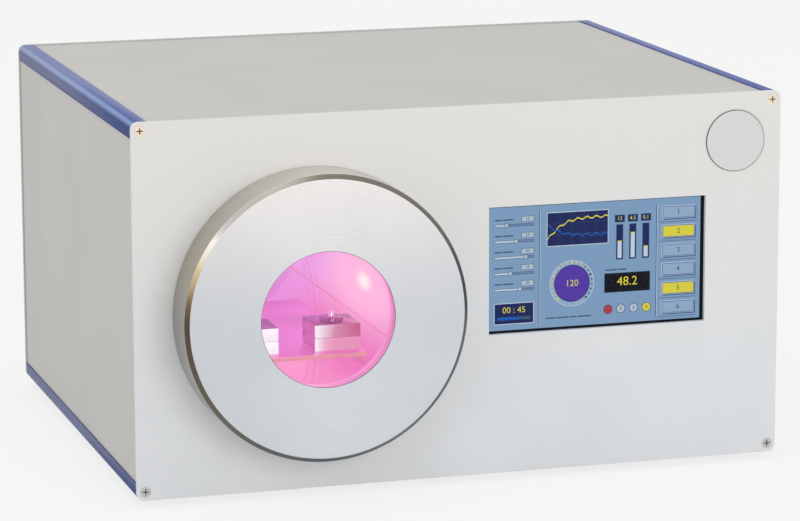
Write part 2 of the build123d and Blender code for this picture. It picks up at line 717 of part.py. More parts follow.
for label, middle_angle in {"upper_electrode": 90, "lower_electrode": 270}.items():
    with BuildPart() as electrode:
        with BuildSketch(front_view(ELECTRODE_START)):
            with Locations(DOOR_MIDDLE):
                Circle(TUBE_R + SLIP + ELECTRODE_T)
                Circle(TUBE_R + SLIP, mode=Mode.SUBTRACT)
            with BuildLine():
                far = 2 * TUBE_R
                start = (
                    DOOR_X + far * cos(radians(middle_angle - ELECTRODE_HALF)),
                    DOOR_Z + far * sin(radians(middle_angle - ELECTRODE_HALF)),
                )
                end = (
                    DOOR_X + far * cos(radians(middle_angle + ELECTRODE_HALF)),
                    DOOR_Z + far * sin(radians(middle_angle + ELECTRODE_HALF)),
                )
                over = DOOR_Z + far * sin(radians(middle_angle))
                Polyline(DOOR_MIDDLE, start, (start[0], over), (end[0], over), end, close=True)
            make_face(mode=Mode.INTERSECT)
        extrude(amount=ELECTRODE_START + ELECTRODE_END - REAR_START)
    save(electrode, label)

# Vacuum line from the rear flange to the pump port

PORT_START = REAR_FACE + VALVE_LEN
PORT_END = CASE_D + PORT_OUT

with BuildPart() as vacuum_valve:
    bar(REAR_FACE, VALVE_LEN, [DOOR_MIDDLE], VALVE_R)
    post(DOOR_Z, VALVE_R + COIL_H, [(DOOR_X, REAR_FACE + STAND_T + SEAM + COIL_R)], COIL_R)
    bar(REAR_FACE, VALVE_LEN, [DOOR_MIDDLE], PORT_BORE_R, Mode.SUBTRACT)
save(vacuum_valve, "vacuum_valve")

with BuildPart() as pump_port:
    turn([
        (PORT_BORE_R, PORT_START), (PORT_R, PORT_START),
        (PORT_R, PORT_END - PORT_FLANGE_T - PORT_TAPER),
        (PORT_FLANGE_R, PORT_END - PORT_FLANGE_T), (PORT_FLANGE_R, PORT_END), (PORT_BORE_R, PORT_END),
    ])
save(pump_port, "pump_port")

with BuildPart() as pressure_gauge:
    bar(REAR_FACE, GAUGE_LEN, [(DOOR_X + GAUGE_X, DOOR_Z + GAUGE_UP)], GAUGE_R)
save(pressure_gauge, "pressure_gauge")

# Screen stack behind its opening

GLASS_PLATE_START = PLATE_T + GASKET_T
LCD_START = GLASS_PLATE_START + GLASS_PLATE_T
LCD_END = LCD_START + LCD_T
LCD_SIZE = (SCREEN_W + 2 * LCD_OVER, SCREEN_H + 2 * LCD_OVER)
PAN_IN = (LCD_SIZE[0] + 2 * PAN_GAP, LCD_SIZE[1] + 2 * PAN_GAP)
PAN_OUT = (PAN_IN[0] + 2 * PAN_T, PAN_IN[1] + 2 * PAN_T)
PAN_END = LCD_END + PAN_T
POST_PLACES = [
    (SCREEN_MIDDLE[0] + i * (BOARD_W / 2 - POST_INSET), SCREEN_MIDDLE[1] + j * (BOARD_H / 2 - POST_INSET))
    for i in (-1, 1)
    for j in (-1, 1)
]

with BuildPart() as screen_gasket:
    slab(PLATE_T, GASKET_T, SCREEN_MIDDLE, LCD_SIZE)
    slab(PLATE_T, GASKET_T, SCREEN_MIDDLE, (SCREEN_W, SCREEN_H), mode=Mode.SUBTRACT)
save(screen_gasket, "screen_gasket")

with BuildPart() as touch_glass:
    slab(GLASS_PLATE_START, GLASS_PLATE_T, SCREEN_MIDDLE, LCD_SIZE)
save(touch_glass, "touch_glass")

with BuildPart() as display_module:
    slab(LCD_START, LCD_T, SCREEN_MIDDLE, LCD_SIZE)
save(display_module, "display_module")

with BuildPart() as display_pan:
    slab(PLATE_T, PAN_END - PLATE_T, SCREEN_MIDDLE, PAN_OUT)
    slab(PLATE_T, LCD_END - PLATE_T, SCREEN_MIDDLE, PAN_IN, mode=Mode.SUBTRACT)
    slab(
        LCD_END, PAN_T, SCREEN_MIDDLE, (PAN_IN[0] - 2 * PAN_CUT, PAN_IN[1] - 2 * PAN_CUT),
        mode=Mode.SUBTRACT,
    )
save(display_pan, "display_pan")

with BuildPart() as board_posts:
    bar(PAN_END, POST_LEN, POST_PLACES, POST_R)
save(board_posts, "board_posts")

BOARD_START = PAN_END + POST_LEN
BOARD_END = BOARD_START + BOARD_T

with BuildPart() as control_board:
    slab(BOARD_START, BOARD_T, SCREEN_MIDDLE, (BOARD_W, BOARD_H))
    chip = BOARD_H / 4
    slab(BOARD_END, 2 * BOARD_T, SCREEN_MIDDLE, (chip, chip))
    for i in (-1, 1):
        place = (SCREEN_MIDDLE[0] + i * BOARD_W / 3, SCREEN_MIDDLE[1] - BOARD_H / 2 + chip / 2)
        slab(BOARD_END, chip / 2, place, (chip, chip / 2))
save(control_board, "control_board")

# Radio-frequency units, feed strap and supply in the bay beside the chamber

MATCH_START = UNIT_START + RF_L + UNIT_GAP

with BuildPart() as rf_generator:
    block((BAY_X, UNIT_START, FLOOR), (RF_W, RF_L, RF_H))
    for i in range(FINS):
        fin = BAY_X + i * (RF_W - FIN_T) / (FINS - 1)
        block((fin, UNIT_START, FLOOR + RF_H), (FIN_T, RF_L, FIN_H))
save(rf_generator, "rf_generator")

with BuildPart() as matching_unit:
    block((BAY_X, MATCH_START, FLOOR), (RF_W, MATCH_L, MATCH_H))
save(matching_unit, "matching_unit")

STRAP_MIDDLE = MATCH_START + MATCH_L / 2
STRAP_ANGLE = radians(90 - ELECTRODE_HALF + 4)
STRAP_X = DOOR_X + (TUBE_R + ELECTRODE_T + SLIP) * cos(STRAP_ANGLE)
STRAP_Z = DOOR_Z + (TUBE_R + ELECTRODE_T + SLIP) * sin(STRAP_ANGLE)
STRAP_RIGHT = BAY_X + STRAP_W

with BuildPart() as rf_strap:
    block(
        (STRAP_X + SEAM, STRAP_MIDDLE, STRAP_Z),
        (STRAP_RIGHT - STRAP_X - SEAM, STRAP_W, STRAP_T),
    )
    block(
        (STRAP_RIGHT - STRAP_T, STRAP_MIDDLE, FLOOR + MATCH_H),
        (STRAP_T, STRAP_W, STRAP_Z - FLOOR - MATCH_H),
    )
save(rf_strap, "rf_strap")

SUPPLY_X = CASE_W - RAIL - WALL_GAP - SUPPLY_W

with BuildPart() as power_supply:
    block((SUPPLY_X, UNIT_START, FLOOR), (SUPPLY_W, SUPPLY_L, SUPPLY_H))
save(power_supply, "power_supply")

# Gas: inlets on the rear plate, a controller for each, a manifold and the pipe to the chamber

CONTROLLER_START = BACK_IN - CONTROLLER_LEN
MANIFOLD_START = CONTROLLER_START - MANIFOLD_L
MANIFOLD_LEFT = GAS_PLACES[-1][0] - CONTROLLER_W / 2
MANIFOLD_RIGHT = GAS_PLACES[0][0] + CONTROLLER_W / 2

for i, (x, z) in enumerate(GAS_PLACES):
    with BuildPart() as gas_controller:
        left = x - CONTROLLER_W / 2
        block((left, CONTROLLER_START, FLOOR), (CONTROLLER_W, CONTROLLER_LEN - INLET_NUT_T, CONTROLLER_BASE))
        block(
            (left + SHEET_T, CONTROLLER_START + SHEET_T, FLOOR + CONTROLLER_BASE),
            (CONTROLLER_W - 2 * SHEET_T, CONTROLLER_LEN - INLET_NUT_T - 2 * SHEET_T,
             CONTROLLER_H - CONTROLLER_BASE),
        )
    save(gas_controller, f"gas_controller_{i + 1}")

with BuildPart() as gas_inlets:
    bar(BACK_IN - INLET_NUT_T, INLET_NUT_T + PLATE_T + INLET_OUT, GAS_PLACES, INLET_R)
    with BuildSketch(front_view(CASE_D)):
        with Locations(*GAS_PLACES):
            RegularPolygon(INLET_NUT_R, 6)
    extrude(amount=-INLET_NUT_T)
    bar(CASE_D + INLET_OUT - INLET_BORE_D, INLET_BORE_D, GAS_PLACES, INLET_BORE_R, Mode.SUBTRACT)
save(gas_inlets, "gas_inlets")

with BuildPart() as gas_manifold:
    block(
        (MANIFOLD_LEFT, MANIFOLD_START, FLOOR),
        (MANIFOLD_RIGHT - MANIFOLD_LEFT, MANIFOLD_L, CONTROLLER_BASE),
    )
save(gas_manifold, "gas_manifold")

PIPE_DEPTH = REAR_START + REAR_FLANGE_T / 2
RISER_X = DOOR_X + REAR_FLANGE_R + 2 * PIPE_SIDE

with BuildPart() as gas_pipe:
    with BuildLine(front_view(PIPE_DEPTH)) as pipe_path:
        FilletPolyline(
            (MANIFOLD_LEFT, GAS_Z), (RISER_X, GAS_Z), (RISER_X, DOOR_Z),
            (DOOR_X + REAR_FLANGE_R, DOOR_Z), radius=PIPE_BEND,
        )
    with BuildSketch(Plane(pipe_path.line @ 0, z_dir=pipe_path.line % 0)):
        Circle(PIPE_R)
    sweep(path=pipe_path.line)
save(gas_pipe, "gas_pipe")

# Mains inlet with its fuse drawer

SOCKET_MIDDLE = (INLET_X, INLET_Z - SOCKET_DOWN)
DRAWER_MIDDLE = (INLET_X, INLET_Z + DRAWER_UP)
INLET_FACE = CASE_D + RIM_T

with BuildPart() as power_inlet:
    slab(CASE_D, RIM_T, INLET_MIDDLE, (INLET_PLATE_W, INLET_PLATE_H), RIM_T)
    slab(INLET_FACE - INLET_BODY_D, INLET_BODY_D, INLET_MIDDLE, (INLET_BODY_W, INLET_BODY_H))
    with BuildSketch(front_view(INLET_FACE - SOCKET_DEPTH)):
        with Locations(SOCKET_MIDDLE):
            Rectangle(SOCKET_W, SOCKET_H)
        chamfer(vertices().group_by(Axis.Z)[-1], SOCKET_CORNER)
    extrude(amount=-SOCKET_DEPTH, mode=Mode.SUBTRACT)
    slab(
        INLET_FACE - DRAWER_D, DRAWER_D, DRAWER_MIDDLE,
        (DRAWER_W + 2 * DRAWER_CLEAR, DRAWER_H + 2 * DRAWER_CLEAR), mode=Mode.SUBTRACT,
    )
    for i, lift in ((-1, 0), (0, BLADE_LIFT), (1, 0)):
        blade = (SOCKET_MIDDLE[0] + i * BLADE_PITCH, SOCKET_MIDDLE[1] - BLADE_LIFT / 2 + lift)
        slab(INLET_FACE - SOCKET_DEPTH, BLADE_L, blade, (BLADE_W, BLADE_H))
save(power_inlet, "power_inlet")

with BuildPart() as fuse_drawer:
    slab(INLET_FACE - DRAWER_D + SEAM, DRAWER_D - SEAM, DRAWER_MIDDLE, (DRAWER_W, DRAWER_H))
    slab(INLET_FACE, DRAWER_LIP, DRAWER_MIDDLE, (DRAWER_W / 2, DRAWER_H / 2))
save(fuse_drawer, "fuse_drawer")

# Rocker switch: the rocker turns on a pin across its frame

SWITCH_FACE = CASE_D + RIM_T
PIVOT_Y = SWITCH_FACE - ROCKER_RISE / 2
CAVITY = (ROCKER_W + 2 * ROCKER_SIDE, 2 * (ROCKER_HALF + ROCKER_SPACE))
CAVITY_D = ROCKER_RISE + ROCKER_BELOW

with BuildPart() as switch_frame:
    slab(CASE_D, RIM_T, SWITCH_MIDDLE, (SWITCH_PLATE_W, SWITCH_PLATE_H), RIM_T)
    slab(SWITCH_FACE - SWITCH_BODY_D, SWITCH_BODY_D, SWITCH_MIDDLE, (SWITCH_BODY_W, SWITCH_BODY_H))
    slab(SWITCH_FACE - CAVITY_D, CAVITY_D, SWITCH_MIDDLE, CAVITY, mode=Mode.SUBTRACT)
    with BuildSketch(side_view(INLET_X - CAVITY[0] / 2)):
        with Locations((PIVOT_Y, SWITCH_Z)):
            Circle(ROCKER_PIN_R)
    extrude(amount=CAVITY[0])
save(switch_frame, "switch_frame")

with BuildPart() as switch_rocker:
    with BuildSketch(side_view(INLET_X - ROCKER_W / 2)):
        with BuildLine():
            Polyline(
                (PIVOT_Y - ROCKER_BELOW, SWITCH_Z - ROCKER_HALF),
                (PIVOT_Y + ROCKER_RISE, SWITCH_Z - ROCKER_HALF),
                (PIVOT_Y + ROCKER_DIP, SWITCH_Z), (PIVOT_Y + ROCKER_RISE, SWITCH_Z + ROCKER_HALF),
                (PIVOT_Y - ROCKER_BELOW, SWITCH_Z + ROCKER_HALF), close=True,
            )
        make_face()
        with Locations((PIVOT_Y, SWITCH_Z)):
            Circle(ROCKER_PIN_R + RUN, mode=Mode.SUBTRACT)
    extrude(amount=ROCKER_W)
    pin_x = -CASE_W / 2 + INLET_X
    tilt_axis = Axis((pin_x, PIVOT_Y - MID_Y, SWITCH_Z + FOOT_GAP), (1, 0, 0))
switch_rocker.part = switch_rocker.part.rotate(tilt_axis, ROCKER_TILT)
save(switch_rocker, "switch_rocker")

# Fan on the rear plate: frame with its motor plate and shaft, and the bladed rotor

FAN_START = BACK_IN - FAN_T
FAN_MIDDLE = (FAN_X, FAN_Z)
HUB_START = FAN_START + MOTOR_T + SEAM
HUB_END = HUB_START + HUB_T

with BuildPart() as fan_frame:
    slab(FAN_START, FAN_T, FAN_MIDDLE, (FAN_SIZE, FAN_SIZE), PLATE_T)
    bar(FAN_START, FAN_T, [FAN_MIDDLE], FAN_BORE_R, Mode.SUBTRACT)
    bar(FAN_START, MOTOR_T, [FAN_MIDDLE], HUB_R)
    with BuildSketch(front_view(FAN_START)):
        with Locations(FAN_MIDDLE):
            with PolarLocations(0, 3):
                Rectangle(FAN_BORE_R + SLIP, STRUT_W, align=(Align.MIN, Align.CENTER))
    extrude(amount=-MOTOR_T)
    bar(FAN_START, MOTOR_T + HUB_T, [FAN_MIDDLE], SHAFT_R)
save(fan_frame, "fan_frame")

FAN_TIP_R = FAN_BORE_R - FAN_TIP_GAP
HUB_MIDDLE = HUB_START + HUB_T / 2

with BuildPart() as fan_rotor:
    bar(HUB_START, HUB_T, [FAN_MIDDLE], HUB_R)
    for i in range(BLADES):
        blade_plane = front_view(HUB_MIDDLE) * Location((*FAN_MIDDLE, 0), (0, 0, i * 360 / BLADES))
        with BuildSketch(blade_plane * Location((0, 0, 0), (0, 90, 0))):
            Rectangle(FAN_BLADE_T, FAN_BLADE_CHORD, rotation=FAN_BLADE_PITCH)
        extrude(amount=FAN_TIP_R)
    bar(HUB_START, HUB_T, [FAN_MIDDLE], SHAFT_R + RUN, Mode.SUBTRACT)
save(fan_rotor, "fan_rotor")
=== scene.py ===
"""Looks of a bench plasma cleaner: finishes, fine pieces, studio and camera round its frame."""
from __future__ import annotations

import logging
import math
from collections.abc import Callable, Iterable
from dataclasses import dataclass
from enum import Enum

import bmesh
import bpy
from mathutils import Matrix, Vector


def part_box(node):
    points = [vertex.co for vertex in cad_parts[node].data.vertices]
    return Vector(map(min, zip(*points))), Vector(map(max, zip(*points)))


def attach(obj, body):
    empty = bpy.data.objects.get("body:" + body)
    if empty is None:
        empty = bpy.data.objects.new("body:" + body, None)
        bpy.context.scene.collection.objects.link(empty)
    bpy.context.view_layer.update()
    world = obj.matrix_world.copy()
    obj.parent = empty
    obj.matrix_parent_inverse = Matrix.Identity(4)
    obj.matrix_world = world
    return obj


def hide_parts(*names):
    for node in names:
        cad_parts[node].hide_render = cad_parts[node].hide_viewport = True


LOG = logging.getLogger("plasma_cleaner")
MM = 0.001
UPRIGHT = Matrix.Rotation(math.pi / 2, 4, "X")
Mesh = bmesh.types.BMesh
Material = bpy.types.Material
Socket = bpy.types.NodeSocket
Object = bpy.types.Object
Colour = tuple[float, float, float]
Stops = tuple[tuple[float, Colour], ...]
Point = tuple[float, float]
EVEN = WHITE = (1.0, 1.0, 1.0)
BLACK = (0.0, 0.0, 0.0)
CLOUD = 9.0  # cells per metre of the patches in paint
PEEL = 1500.0  # cells per metre of its orange peel
BRUSHED = 1600.0  # cells per metre across a rail's drawn lines
PIXELS = 9000.0  # radians per metre of the screen's pixels


class Shader:
    """The node tree of a material or world, with one method that adds any node."""

    def __init__(self, name: str, world: bpy.types.World | None = None) -> None:
        """Start an empty tree.

        Args:
            name: The material's name.
            world: The world whose tree it is, or None for a new material.
        """
        self.material = world or bpy.data.materials.new(name)
        self.material.use_nodes = True
        self.nodes = self.material.node_tree.nodes
        self.links = self.material.node_tree.links
        self.nodes.clear()
        self.output = self.add("OutputWorld" if world else "OutputMaterial")

    def add(self, kind: str, settings: dict | None = None, **sockets: object) -> bpy.types.Node:
        """Add a node.

        Args:
            kind: The node's type, without the ShaderNode prefix.
            settings: Properties of the node, set before its sockets.
            sockets: Values or links, by socket name with underscores for spaces.

        Returns:
            The new node.
        """
        node = self.nodes.new("ShaderNode" + kind)
        for key, value in (settings or {}).items():
            setattr(node, key, value)
        for key, value in sockets.items():
            self.feed(node.inputs[key.replace("_", " ")], value)
        return node

    def feed(self, target: Socket, value: object) -> None:
        """Set or link one socket.

        Args:
            target: The socket that takes the value.
            value: A number, colour, vector, socket or Level.
        """
        if isinstance(value, Level):
            value = value.socket
        if isinstance(value, Socket):
            self.links.new(value, target)
        elif isinstance(value, tuple) and len(value) == 3 and len(target.default_value) == 4:
            target.default_value = (*value, 1.0)
        else:
            target.default_value = value

    def ramp(self, stops: Stops, level: Level) -> Socket:
        """Turn a level into a colour.

        Args:
            stops: Places on the level and their colours.
            level: The level.

        Returns:
            The colour's socket.
        """
        node = self.add("ValToRGB", Fac=level)
        elements = node.color_ramp.elements
        while len(elements) < len(stops):
            elements.new(0.5)
        for element, (place, colour) in zip(elements, stops):
            element.position = place
            element.color = (*colour, 1.0)
        return node.outputs[0]

    def place(self) -> Socket:
        """Return the object coordinates, which are metres in the row's frame."""
        return self.add("TexCoord").outputs["Object"]

    def axes(self) -> tuple[Level, Level, Level]:
        """Return x, y and z of the object coordinates."""
        split = self.add("SeparateXYZ", Vector=self.place())
        return tuple(Level(self, split.outputs[i]) for i in range(3))

    def noise(self, scale: float, detail: float = 2.0, stretch: Colour = EVEN) -> Level:
        """Return a noise level on object coordinates.

        Args:
            scale: Cells per metre.
            detail: Octaves.
            stretch: Scale along each axis.

        Returns:
            The level, about 0 to 1.
        """
        mapping = self.add("Mapping", Vector=self.place(), Scale=stretch)
        node = self.add("TexNoise", Vector=mapping.outputs[0], Scale=scale, Detail=detail)
        return Level(self, node.outputs[0])

    def mix(self, factor: object, first: object, second: object) -> Socket:
        """Mix two colours.

        Args:
            factor: 0 gives the first colour, 1 the second.
            first, second: Colours or sockets.

        Returns:
            The mixed colour's socket.
        """
        node = self.add("Mix", {"data_type": "RGBA"})
        self.feed(node.inputs[0], factor)
        self.feed(node.inputs[6], first)
        self.feed(node.inputs[7], second)
        return node.outputs[2]

    def seen(self) -> Level:
        """Return 1 for rays that show a background: from the camera, gloss and glass."""
        path = self.add("LightPath").outputs
        camera = Level(self, path["Is Camera Ray"])
        return camera.greater(path["Is Glossy Ray"]).greater(path["Is Transmission Ray"])

    def blend(self, factor: object, first: bpy.types.Node, second: bpy.types.Node) -> None:
        """Finish the tree with two shaders mixed by a factor.

        Args:
            factor: 0 gives the first shader, 1 the second.
            first, second: The shaders' nodes.
        """
        both = self.add("MixShader", Fac=factor)
        self.feed(both.inputs[1], first.outputs[0])
        self.feed(both.inputs[2], second.outputs[0])
        self.feed(self.output.inputs[0], both.outputs[0])

    def surface(self, bump: Level | None = None, strength: float = 0.0, **sockets: object) -> None:
        """Finish the material with a principled shader.

        Args:
            bump: Height level, or None for a smooth surface.
            strength: The bump's strength.
            sockets: Sockets of the principled shader.
        """
        shader = self.add("BsdfPrincipled", **sockets)
        if bump is not None:
            relief = self.add("Bump", Height=bump, Strength=strength, Distance=0.4 * MM)
            self.feed(shader.inputs["Normal"], relief.outputs[0])
        self.feed(self.output.inputs[0], shader.outputs[0])


class Level:
    """A number that varies over a surface; expressions on it add maths nodes."""

    def __init__(self, shader: Shader, socket: Socket) -> None:
        """Wrap a socket of a shader."""
        self.shader = shader
        self.socket = socket

    def _do(self, operation: str, *others: object) -> Level:
        """Add one maths node whose first value is this level.

        Args:
            operation: Blender's name of the operation.
            others: Its other values.

        Returns:
            The result.
        """
        node = self.shader.add("Math", {"operation": operation})
        for target, value in zip(node.inputs, (self, *others)):
            self.shader.feed(target, value)
        return Level(self.shader, node.outputs[0])

    def __add__(self, other: object) -> Level:
        """Sum."""
        return self._do("ADD", other)

    __radd__ = __add__

    def __sub__(self, other: object) -> Level:
        """Difference."""
        return self._do("SUBTRACT", other)

    def __rsub__(self, other: object) -> Level:
        """Difference, the other way round."""
        return -self + other

    def __mul__(self, other: object) -> Level:
        """Product."""
        return self._do("MULTIPLY", other)

    __rmul__ = __mul__

    def __truediv__(self, other: object) -> Level:
        """Quotient."""
        return self._do("DIVIDE", other)

    def __rtruediv__(self, other: object) -> Level:
        """Quotient, the other way round."""
        return self._do("POWER", -1.0) * other

    def __neg__(self) -> Level:
        """Opposite."""
        return self._do("MULTIPLY", -1.0)

    def greater(self, other: object) -> Level:
        """The greater of two values."""
        return self._do("MAXIMUM", other)

    def sine(self) -> Level:
        """Sine of the level in radians."""
        return self._do("SINE")

    def size(self) -> Level:
        """Absolute value."""
        return self._do("ABSOLUTE")

    def angle(self, other: Level) -> Level:
        """Angle of the point (other, self) in radians."""
        return self._do("ARCTAN2", other)

    def reach(self, other: Level) -> Level:
        """Distance of the point (self, other) from zero."""
        return (self * self + other * other)._do("SQRT")

    def step(self, low: float, high: float) -> Level:
        """Rise smoothly with the level.

        Args:
            low: Where it is still 0.
            high: Where it reaches 1.

        Returns:
            The risen level.
        """
        smooth = {"interpolation_type": "SMOOTHSTEP"}
        node = self.shader.add("MapRange", smooth, Value=self, From_Min=low, From_Max=high)
        return Level(self.shader, node.outputs[0])

    def fall(self, low: float, high: float) -> Level:
        """Smooth fall from 1 at low to 0 at high."""
        return 1.0 - self.step(low, high)

    def near(self, centre: float, width: float) -> Level:
        """1 at the centre, falling to 0 at the width."""
        return (self - centre).size().fall(0.0, width)

    def sway(self, amount: float) -> Level:
        """Change about zero of a level that runs from 0 to 1."""
        return (self - 0.5) * amount


@dataclass(frozen=True)
class Fade:
    """Change of colour with height, as a lit gradient baked into a finish.

    Attributes:
        low, high: Heights where it starts and ends, metres.
        above: Colour at the top.
    """

    low: float
    high: float
    above: Colour

    def over(self, s: Shader, colour: object) -> Socket:
        """Return the upper colour mixed over a colour."""
        return s.mix(s.axes()[2].step(self.low, self.high), colour, self.above)


class Lay(Enum):
    """How a metal's fine lines run: the stretch of their noise, or a word where there is none."""

    TURNED = "rings about the door axis"
    ALONG_X = (0.02, 1.0, 1.0)
    ALONG_Y = (1.0, 0.02, 1.0)
    NONE = "no lines"


@dataclass(frozen=True)
class Finish:
    """What every finish has.

    Attributes:
        name: The material's name.
        colour: Linear base colour.
    """

    name: str
    colour: Colour

    def make(self) -> Material:
        """Build the material."""
        s = Shader(self.name)
        self.draw(s)
        return s.material

    def draw(self, s: Shader) -> None:
        """Add the finish's nodes to an empty tree."""
        raise NotImplementedError


@dataclass(frozen=True)
class Paint(Finish):
    """Powder coat or gloss paint.

    Attributes:
        roughness: Middle roughness.
        grain: Strength of the orange-peel relief.
        fade: Change of colour with height.
    """

    roughness: float = 0.45
    grain: float = 0.12
    fade: Fade | None = None

    def draw(self, s: Shader) -> None:
        """Cloud the colour a little and add the orange peel.

        Args:
            s: The material's empty tree.
        """
        cloud = s.noise(CLOUD, 3.0)
        peel = s.noise(PEEL)
        colour = s.mix(cloud.step(0.35, 0.7), scaled(self.colour, 0.94), self.colour)
        if self.fade:
            colour = self.fade.over(s, colour)
        rough = self.roughness + cloud.sway(0.12) + peel.sway(0.08)
        s.surface(peel, self.grain, Base_Color=colour, Roughness=rough)


@dataclass(frozen=True)
class AnodisedPaintedSheen(Finish):
    """Anodised rail with painted light: shaded on the side, a highlight along the curve, lit on
    top.

    Attributes:
        centre: Middle of the case, metres.
        axis: The curves' axes from the middle, sideways and upward, metres.
        painted_sheen: Linear colour of the painted highlight along the curve.
        top: Linear colour of the painted light on the top.
    """

    centre: Colour
    axis: tuple[float, float]
    painted_sheen: Colour = (0.23, 0.33, 0.60)
    top: Colour = (0.050, 0.088, 0.36)

    def draw(self, s: Shader) -> None:
        """Paint light and shade on the rail by the angle round its curve.

        Args:
            s: The material's empty tree.
        """
        x, _, z = s.axes()
        out = (x - self.centre[0]).size() - self.axis[0]
        up = (z - self.centre[2]).size() - self.axis[1]
        grain = s.noise(BRUSHED, 2.0, Lay.ALONG_Y.value)
        turn = up.angle(out) / (math.pi / 2) + grain.sway(0.06)
        # painted light: painted shade on the side, a painted highlight on the curve, a lit middle
        # tone on top
        painted_light_tones = ((0.0, self.colour), (0.12, self.colour), (0.42, self.painted_sheen), (0.58, self.painted_sheen),
                 (0.82, self.top))
        s.surface(
            grain, 0.05, Base_Color=s.ramp(painted_light_tones, turn), Roughness=0.36 + grain.sway(0.15),
            Specular_IOR_Level=0.18,
        )


@dataclass(frozen=True)
class Metal(Finish):
    """Machined, turned or brushed metal.

    Attributes:
        roughness: Middle roughness.
        lay: How its lines run.
        lines: Strength of the lines' relief.
        centre: A point on the turning axis, for turned metal.
        tint: Colour that it takes in patches.
        fade: Change of colour with height.
        painted_light_round_axis: Painted light, shade and reflections round the turning axis, from
            -180 degrees (0) to 180 degrees (1).
    """

    roughness: float = 0.32
    lay: Lay = Lay.NONE
    lines: float = 0.15
    centre: Colour = (0.0, 0.0, 0.0)
    tint: Colour | None = None
    fade: Fade | None = None
    painted_light_round_axis: Stops = ()

    def draw(self, s: Shader) -> None:
        """Lay the lines, then tint the colour, paint light round the turning axis and fade it, as
        given.

        Args:
            s: The material's empty tree.
        """
        cloud = s.noise(14.0, 3.0)
        if self.lay is Lay.TURNED:
            x, y, z = s.axes()
            side, rise = x - self.centre[0], z - self.centre[2]
            radius = side.reach(rise)
            grooves = (radius * 9000.0 + y * 7000.0).sine()
            line = {"noise_dimensions": "1D"}
            wander = s.add("TexNoise", line, W=(radius + y) * 900.0, Scale=1.0, Detail=3.0)
            fine = grooves * 0.25 + Level(s, wander.outputs[0])
            turn = rise.angle(side) / (2 * math.pi) + 0.5
        elif self.lay is Lay.NONE:
            fine = s.noise(1200.0)
        else:
            fine = s.noise(1800.0, 2.0, self.lay.value)
        patch = self.tint or scaled(self.colour, 0.9)
        colour = s.mix(cloud.step(0.4, 0.75), self.colour, patch)
        # painted light: the colours round the turning axis are painted light, shade and reflections
        if self.painted_light_round_axis:
            colour = s.ramp(self.painted_light_round_axis, turn + cloud.sway(0.04))
        if self.fade:
            colour = self.fade.over(s, colour)
        rough = self.roughness + cloud.sway(0.1) + fine.sway(0.15)
        s.surface(fine, self.lines, Base_Color=colour, Roughness=rough, Metallic=1.0)


@dataclass(frozen=True)
class Moulded(Finish):
    """Moulded plastic or rubber with a fine spark texture.

    Attributes:
        roughness: Middle roughness.
        grain: Strength of the texture.
    """

    roughness: float = 0.5
    grain: float = 0.2

    def draw(self, s: Shader) -> None:
        """Pale the colour in clouds and add the texture.

        Args:
            s: The material's empty tree.
        """
        spark = s.noise(2600.0, 1.0)
        cloud = s.noise(25.0)
        paler = tuple(c * 1.15 + 0.004 for c in self.colour)
        colour = s.mix(cloud.step(0.4, 0.7), self.colour, paler)
        s.surface(spark, self.grain, Base_Color=colour, Roughness=self.roughness + cloud.sway(0.15))


@dataclass(frozen=True)
class ClearPane(Finish):
    """Thin clear pane that keeps a gloss and a little of its colour.

    Attributes:
        veil: How much of the colour covers what lies behind, 0 to 1.
        gloss: Strength of the reflection, 0.5 for plain glass, less where it is coated.
    """

    veil: float
    gloss: float = 0.5

    def draw(self, s: Shader) -> None:
        """Vary the veil and the gloss a little.

        Args:
            s: The material's empty tree.
        """
        haze = s.noise(20.0)
        s.surface(
            Base_Color=self.colour, Roughness=0.04 + haze * 0.03, Alpha=self.veil + haze.sway(0.03),
            Specular_IOR_Level=self.gloss,
        )


@dataclass(frozen=True)
class Lamp(Finish):
    """Lit ink of the screen's picture, in the colour of its light."""

    def draw(self, s: Shader) -> None:
        """Light the ink through a fine pattern of pixels.

        Args:
            s: The material's empty tree.
        """
        x, _, z = s.axes()
        pixels = sum((a * PIXELS).sine() * 0.02 for a in (x, z)) + 1.0
        light = s.mix(pixels * 0.5, BLACK, scaled(self.colour, 2.0))
        s.surface(
            Base_Color=scaled(self.colour, 0.02), Roughness=0.35, Specular_IOR_Level=0.05,
            Emission_Color=light, Emission_Strength=1.0,
        )


